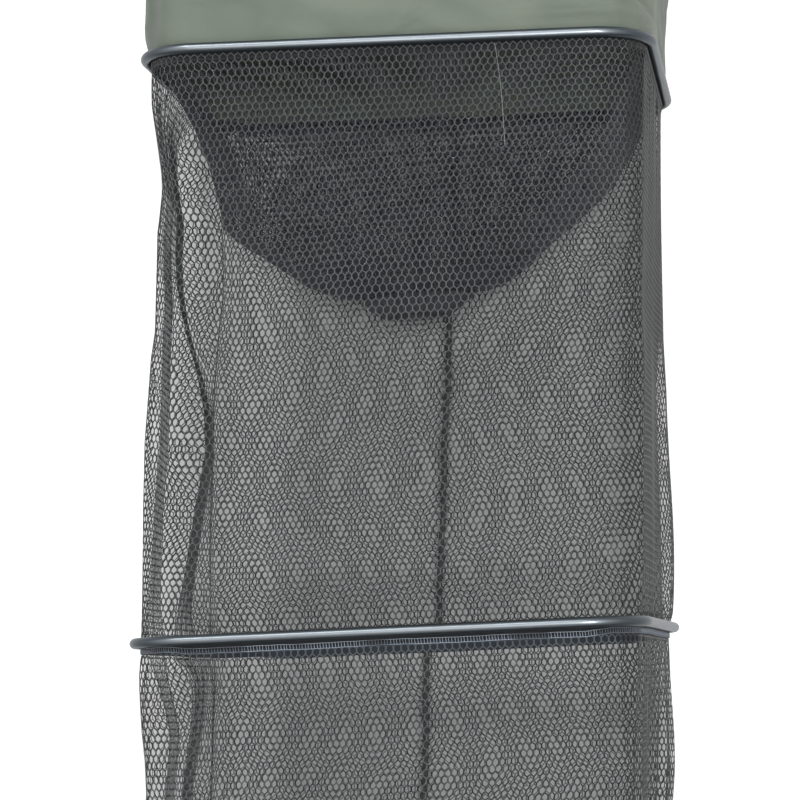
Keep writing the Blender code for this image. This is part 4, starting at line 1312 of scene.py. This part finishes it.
def collarMesh():
    place = sleeveSurface(collarShape)
    share = np.linspace(0.5, 1.5, collarShape["across"], endpoint=False)[None, :]
    drop = np.linspace(0, 1, collarShape["down"])[:, None]
    point = place(share, drop)
    way = ringWay(np.broadcast_to(share, point.shape[:2]))
    point = point + way * collarWrinkles(share, drop)[..., None]
    half = collarShape["thickness"] / 2
    outer, inner = point - way * half, point + way * half
    rows = np.concatenate([outer, inner[::-1]], 0)
    mesh = sweptMesh("collar_cloth", np.swapaxes(rows, 0, 1))
    across, down = np.broadcast_arrays(share * ringLength, drop * collarShape["height"])
    inside = np.ones_like(across)
    marks = {"acrossCloth": (across, across), "downCloth": (down, down), "inside": (0 * inside, inside)}
    addMarks(mesh, {mark: np.concatenate([out, back[::-1]]).T for mark, (out, back) in marks.items()})
    return mesh


def collarFinish():
    look = collarLook
    made = Finish("coated_collar_cloth", Roughness=0.62, Sheen_Weight=0.12)
    across, down = made.attribute("acrossCloth"), made.attribute("downCloth")
    weave = 0.5 * made.ribs("acrossCloth", look["weave"]) + 0.5 * made.ribs("downCloth", look["weave"])
    bands = made.noise(1.0, 3, made.joined(across * 7, down * 2.2))
    cloudy = made.noise(16, 4)
    tone = made.mixed((0.6 * bands + 0.5 * cloudy).between(0.35, 0.78), look["colour"], look["pale"])
    tone = made.mixed(made.noise(5, 3).between(0.42, 0.72) * 0.40, tone, look["dark"])
    slanted = made.noise(1.0, 4, made.joined(across * 3 + down * 2, down * 11 - across * 4))
    tone = made.mixed(slanted.between(0.5, 0.64) * 0.65, tone, look["pale"])
    tone = made.mixed(slanted.between(0.48, 0.34) * 0.60, tone, look["dark"])
    # painted shade: a darker band down the front's left corner
    corner = abs(across - look["shadedCornerAt"] * ringLength).between(look["shadedCornerReach"], 0.004)
    tone = made.mixed(corner * (0.35 + 0.5 * cloudy), tone, look["dark"])
    tone = made.mixed(made.attribute("inside") * 0.55, tone, look["dark"])
    made.feed("Base Color", made.mixed(weave * 0.18, tone, look["dark"]))
    made.feed("Roughness", 0.52 + 0.2 * cloudy)
    made.relief(weave + 2.2 * made.noise(60, 4), 0.00022)
    return made


collar = addPiece("collar_cloth", collarMesh(), collarFinish(), "mouth_ring", ["collar"])
print("collar done")


# Connector: moulded parts with their CAD shape, a real thread on the stud, a finer knob
def mouldedFinish(name, colour, rough, grain=900, depth=0.00006):
    made = Finish(name)
    grit = made.noise(grain, 5)
    scuff = made.noise(60, 5).between(0.58, 0.74)
    light = tuple(min(1, 2.2 * c + 0.02) for c in colour)
    made.feed("Base Color", made.mixed(0.25 * grit + 0.45 * scuff, colour, light))
    made.feed("Roughness", rough + 0.15 * grit + 0.12 * scuff)
    made.relief(grit, depth)
    return made


def turnedFinish(name, colour, wearAndHighlight, rough=0.24):
    made = Finish(name, Metallic=1.0)
    lines = made.noise(1.0, 3, made.stretched(2600, 90, 90))
    stain = made.noise(140, 4)
    made.feed("Base Color", made.mixed(stain.between(0.35, 0.8), colour, wearAndHighlight))
    made.feed("Roughness", rough + 0.2 * stain + 0.1 * lines)
    made.relief(lines, 0.00001)
    return made


def fibreFinish():
    made = Finish("pressed_fibre", Roughness=0.9)
    flecks = made.noise(1600, 4)
    made.feed("Base Color", made.mixed(flecks.between(0.35, 0.7), (0.10, 0.055, 0.03), (0.27, 0.17, 0.10)))
    made.relief(flecks, 0.0001)
    return made


nylon = mouldedFinish("moulded_nylon", (0.028, 0.029, 0.030), 0.48)
knobPlastic = mouldedFinish("satin_knob_plastic", (0.018, 0.018, 0.019), 0.34, 1500, 0.00003)
steel = turnedFinish("turned_stainless_steel", (0.56, 0.56, 0.55), (0.42, 0.42, 0.42))
brass = turnedFinish("turned_brass", (0.62, 0.45, 0.19), (0.40, 0.28, 0.12))
fibre = fibreFinish()
for node, finish in (
    ("swivel_arm", nylon),
    ("connector_block", nylon),
    ("friction_disc_left", fibre),
    ("friction_disc_right", fibre),
    ("pivot_bolt", steel),
    ("knob_washer", steel),
    ("ring_screw_left", steel),
    ("ring_screw_right", steel),
):
    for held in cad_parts[node].material_slots:
        held.material = finish.material

studShape = {
    "radius": 0.00476,
    "pitch": 0.00127,
    "depth": 0.0007,
    "chamfer": (0.0007, 0.0008),
    "low": 0.0,
    "high": 0.0297,
}


def studMesh():
    shape = studShape
    height = np.linspace(shape["low"], shape["high"], 240)[:, None]
    angle = np.linspace(0, 2 * np.pi, 40, endpoint=False)[None, :]
    turn = (height / shape["pitch"] - angle / (2 * np.pi)) % 1
    cut = np.clip(1.25 * (1 - abs(2 * turn - 1)) - 0.12, 0, 1)
    ends = np.minimum(height - shape["low"], shape["high"] - height)
    chamfer = shape["chamfer"][0] * np.clip(1 - ends / shape["chamfer"][1], 0, 1)
    radius = shape["radius"] - shape["depth"] * cut - chamfer
    points = np.stack(np.broadcast_arrays(radius * np.cos(angle), radius * np.sin(angle), height), -1)
    return sweptMesh("threaded_stud_fine", points[:, ::-1], closed=False)


addPiece("threaded_stud_fine", studMesh(), brass, "arm", ["threaded_stud"])

knobShape = {
    "radius": 0.0150,
    "lobe": 0.0014,
    "lobes": 5,
    "groove": 0.00022,
    "grooves": 60,
    "hub": 0.0090,
    "low": 0.0163,
    "hubLength": 0.004,
    "length": 0.014,
    "height": 0.062,
}


def knobMesh():
    shape = knobShape
    angle = np.linspace(0, 2 * np.pi, 200, endpoint=False)
    outline = shape["radius"] + shape["lobe"] * np.cos(shape["lobes"] * angle)
    outline -= shape["groove"] * np.clip(np.cos(shape["grooves"] * angle), 0, 1)
    hub = shape["hub"] / shape["radius"]
    low, grip = shape["low"], shape["low"] + shape["hubLength"]
    end = grip + shape["length"]
    rows = []
    for reach, height in (
        (0.30, low + 0.0008),
        (0.32, low),
        (hub * 0.97, low),
        (hub, low + 0.0004),
        (hub, grip),
        (0.90, grip),
        (0.95, grip + 0.0003),
        (0.985, grip + 0.0009),
        (1.0, grip + 0.0020),
        (1.0, end - 0.0022),
        (0.985, end - 0.0010),
        (0.95, end - 0.0003),
        (0.90, end),
        (0.74, end),
        (0.71, end - 0.0007),
        (0.30, end - 0.0009),
        (0.05, end - 0.0008),
    ):
        radius = outline * reach
        rows.append(np.stack([height + 0 * angle, radius * np.cos(angle), radius * np.sin(angle)], -1))
    points = np.array(rows) + np.array([0, 0, shape["height"]])
    return sweptMesh("lock_knob_fine", points[:, ::-1], closed=False)


addPiece("lock_knob_fine", knobMesh(), knobPlastic, "knob", ["lock_knob"])
print("connector done")


# Soft pieces, listed with the slide joint of the ring below them, the ring above them and this share of
# their height. Here each one only gets a mesh of its own.
squashKeep = {"collar": 0.072, "net": 0.052}
squashes = [([collar], "ring_2_slide", "mouth_ring", squashKeep["collar"])]
for section in netSections:
    pieces = section["pieces"] + seamPieces[section["node"]]
    squashes.append((pieces, section["joint"], section["upper"], squashKeep["net"]))
squashes.append((throatPieces + [stray], "ring_3_slide", "ring_2", squashKeep["net"]))
for pieces, joint, ring, keep in squashes:
    level = rings[ring]["height"]
    for piece in pieces:
        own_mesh(piece)


# Camera where the photograph was taken from
view = {
    "place": (0.3595, -2.7595, -0.847),
    "lens": 130.2,
    "pitch": 5.738,
    "yaw": 8.26,
    "roll": 0.58,
}

# Studio: pale floor, a pale wall close behind the net that takes its soft shadow, and a painted grey shadow
# behind the net
studio = {
    "wallY": 0.045,
    "floorZ": -2.02,
    "floorColour": 0.95,
    "reach": 4,  # how far wall and floor go to each side, and the wall up
    "floorFront": -6,
    "worldLight": 0.18,
    "wallColour": 0.74,
    "wallGlow": 0.55,
    "greyLeft": -0.2785,  # painted shadow: the wall is grey behind the net, between these ends
    "greyRight": 0.193,
    "greySoft": 0.004,
    "greyHead": (-0.22, -0.03),  # it fades out behind the collar
    "greyTop": -0.27,
    "greyLow": -1.12,  # the painted shadow's edges follow the net's down to here, and then hang straight
    "greyEnd": (-1.18, -1.75),
    "paintedShadowLower": 0.16,  # how much darker the painted shadow is below ring 3, between these heights
    "greyStep": (-0.80, -0.86),
    "greyLevels": 30,
    "paintedShadowShades": [(0, 0.61), (0.14, 0.59), (0.26, 0.56), (0.60, 0.66), (1, 0.70)],
    "suns": [
        ("front_light", 2.12, 9, (8, -6)),
        ("key_light", 0.82, 12, (-24, 38)),
    ],
}


def stagePlane(name, corners, colour):
    mesh = bpy.data.meshes.new(name)
    mesh.from_pydata(corners, [], [(0, 1, 2, 3)])
    made = newObject(name, mesh)
    paint = Finish(name, Roughness=1.0)
    paint.shader.inputs["Base Color"].default_value = (colour, colour, colour, 1)
    paint.shader.inputs["Specular IOR Level"].default_value = 0.0
    mesh.materials.append(paint.material)
    return paint


# Where the net's left and right edges fall on the wall from the camera's place, level by level
def netEdges(levels):
    place = np.array(view["place"])
    falls = []
    for section in netSections[:2]:
        for piece in section["pieces"]:
            points = np.empty(3 * len(piece.data.vertices), np.float32)
            piece.data.vertices.foreach_get("co", points)
            way = points.reshape(-1, 3) - place
            falls.append(place + way * ((studio["wallY"] - place[1]) / way[:, 1])[:, None])
    falls = np.concatenate(falls)
    step = (levels[-1] - levels[0]) / (len(levels) - 1)
    nearest = np.round((falls[:, 2] - levels[0]) / step).astype(int)
    kept = (nearest >= 0) & (nearest < len(levels))
    left, right = np.full(len(levels), np.inf), np.full(len(levels), -np.inf)
    np.minimum.at(left, nearest[kept], falls[kept, 0])
    np.maximum.at(right, nearest[kept], falls[kept, 0])
    return left, right


# The wall glows white outside the net's outline, and behind the net it has a painted grey shadow. From
# behind it can be seen through.
def wallGlow(paint):
    soft, top, low = studio["greySoft"], studio["greyTop"], studio["greyLow"]
    across, height = paint.axis("X"), paint.axis("Z")
    levels = np.linspace(low, top, studio["greyLevels"])
    outside = height.between(*studio["greyHead"]) + height.between(*studio["greyEnd"])
    for edge, sign in zip(netEdges(levels), (-1, 1)):
        start, reach = float(edge.min()), float(np.ptp(edge)) + 1e-6
        stops = [((z - low) / (top - low), ((x - start) / reach,) * 3) for z, x in zip(levels, edge)]
        ramp = paint.node("ShaderNodeValToRGB", {"stops": stops}, {0: (height - low) / (top - low)})
        outside = outside + ((across - start - ramp * reach) * sign).between(-soft, 0)
    left, right = studio["greyLeft"], studio["greyRight"]
    # painted shadow: the wall's own colour is grey, and darker below ring 3; only outside the net's outline
    # does the glow lift it to white
    shades = [(place, (shade, shade, shade)) for place, shade in studio["paintedShadowShades"]]
    shade = paint.node("ShaderNodeValToRGB", {"stops": shades}, {0: (across - left) / (right - left)})
    below = height.between(*studio["greyStep"]) * studio["paintedShadowLower"]
    paint.feed("Base Color", paint.mixed(below, shade, (0, 0, 0)))
    seen = [paint.node("ShaderNodeLightPath", output=f"Is {kind} Ray") for kind in ("Camera", "Glossy")]
    glow = paint.mixed(outside * seen[0].maths("MAXIMUM", seen[0], seen[1]), (0, 0, 0), (1, 1, 1))
    paint.feed("Emission Color", glow)
    paint.shader.inputs["Emission Strength"].default_value = studio["wallGlow"]
    back = paint.node("ShaderNodeNewGeometry", output="Backfacing")
    clear = paint.node("ShaderNodeBsdfTransparent")
    solid = Wire(paint, paint.shader.outputs[0])
    both = paint.node("ShaderNodeMixShader", {}, {0: back, 1: solid, 2: clear})
    paint.tree.links.new(both.socket, paint.tree.nodes["Material Output"].inputs["Surface"])


wall, floor, reach, front = (studio[key] for key in ("wallY", "floorZ", "reach", "floorFront"))
wallCorners = [(-reach, wall, floor), (reach, wall, floor), (reach, wall, reach), (-reach, wall, reach)]
floorCorners = [(-reach, front, floor), (reach, front, floor)]
floorCorners += [(reach, reach, floor), (-reach, reach, floor)]
wallGlow(stagePlane("studio_wall", wallCorners, studio["wallColour"]))
stagePlane("studio_floor", floorCorners, studio["floorColour"])

for name, strength, size, (turn, rise) in studio["suns"]:
    lamp = bpy.data.lights.new(name, "SUN")
    lamp.energy, lamp.angle = strength, math.radians(size)
    held = newObject(name, lamp)
    turn, rise = math.radians(turn), math.radians(rise)
    comes = Vector((math.sin(turn) * math.cos(rise), -math.cos(turn) * math.cos(rise), math.sin(rise)))
    held.rotation_euler = comes.to_track_quat("Z", "Y").to_euler()

world = bpy.data.worlds.new("plain_studio")
bpy.context.scene.world = world
world.use_nodes = True
nodes, links = world.node_tree.nodes, world.node_tree.links
shade = nodes["Background"]
rays = nodes.new("ShaderNodeLightPath")
seen = rays.outputs["Is Camera Ray"]
for kind in ("Glossy", "Transmission"):
    either = nodes.new("ShaderNodeMath")
    either.operation = "MAXIMUM"
    links.new(seen, either.inputs[0])
    links.new(rays.outputs[f"Is {kind} Ray"], either.inputs[1])
    seen = either.outputs[0]
level = nodes.new("ShaderNodeMapRange")
links.new(seen, level.inputs["Value"])
level.inputs["To Min"].default_value = studio["worldLight"]
level.inputs["To Max"].default_value = 1.0
links.new(level.outputs[0], shade.inputs["Strength"])
shade.inputs["Color"].default_value = (1, 1, 1, 1)

camera = newObject("camera", bpy.data.cameras.new("camera"))
camera.data.lens, camera.data.sensor_width = view["lens"], 36
camera.data.clip_start, camera.data.clip_end = 0.05, 60
pitch, yaw, roll = (math.radians(view[k]) for k in ("pitch", "yaw", "roll"))
ahead = Vector((-math.sin(yaw) * math.cos(pitch), math.cos(yaw) * math.cos(pitch), math.sin(pitch)))
side = Vector((math.cos(yaw), math.sin(yaw), 0))
above = side.cross(ahead)
right = side * math.cos(roll) + above * math.sin(roll)
up = above * math.cos(roll) - side * math.sin(roll)
turned = Matrix((right, up, -ahead)).transposed().to_4x4()
camera.matrix_world = Matrix.Translation(view["place"]) @ turned
bpy.context.scene.camera = camera
bpy.context.scene.view_settings.view_transform = "Standard"

bpy.context.view_layer.update()
print("scene ready")
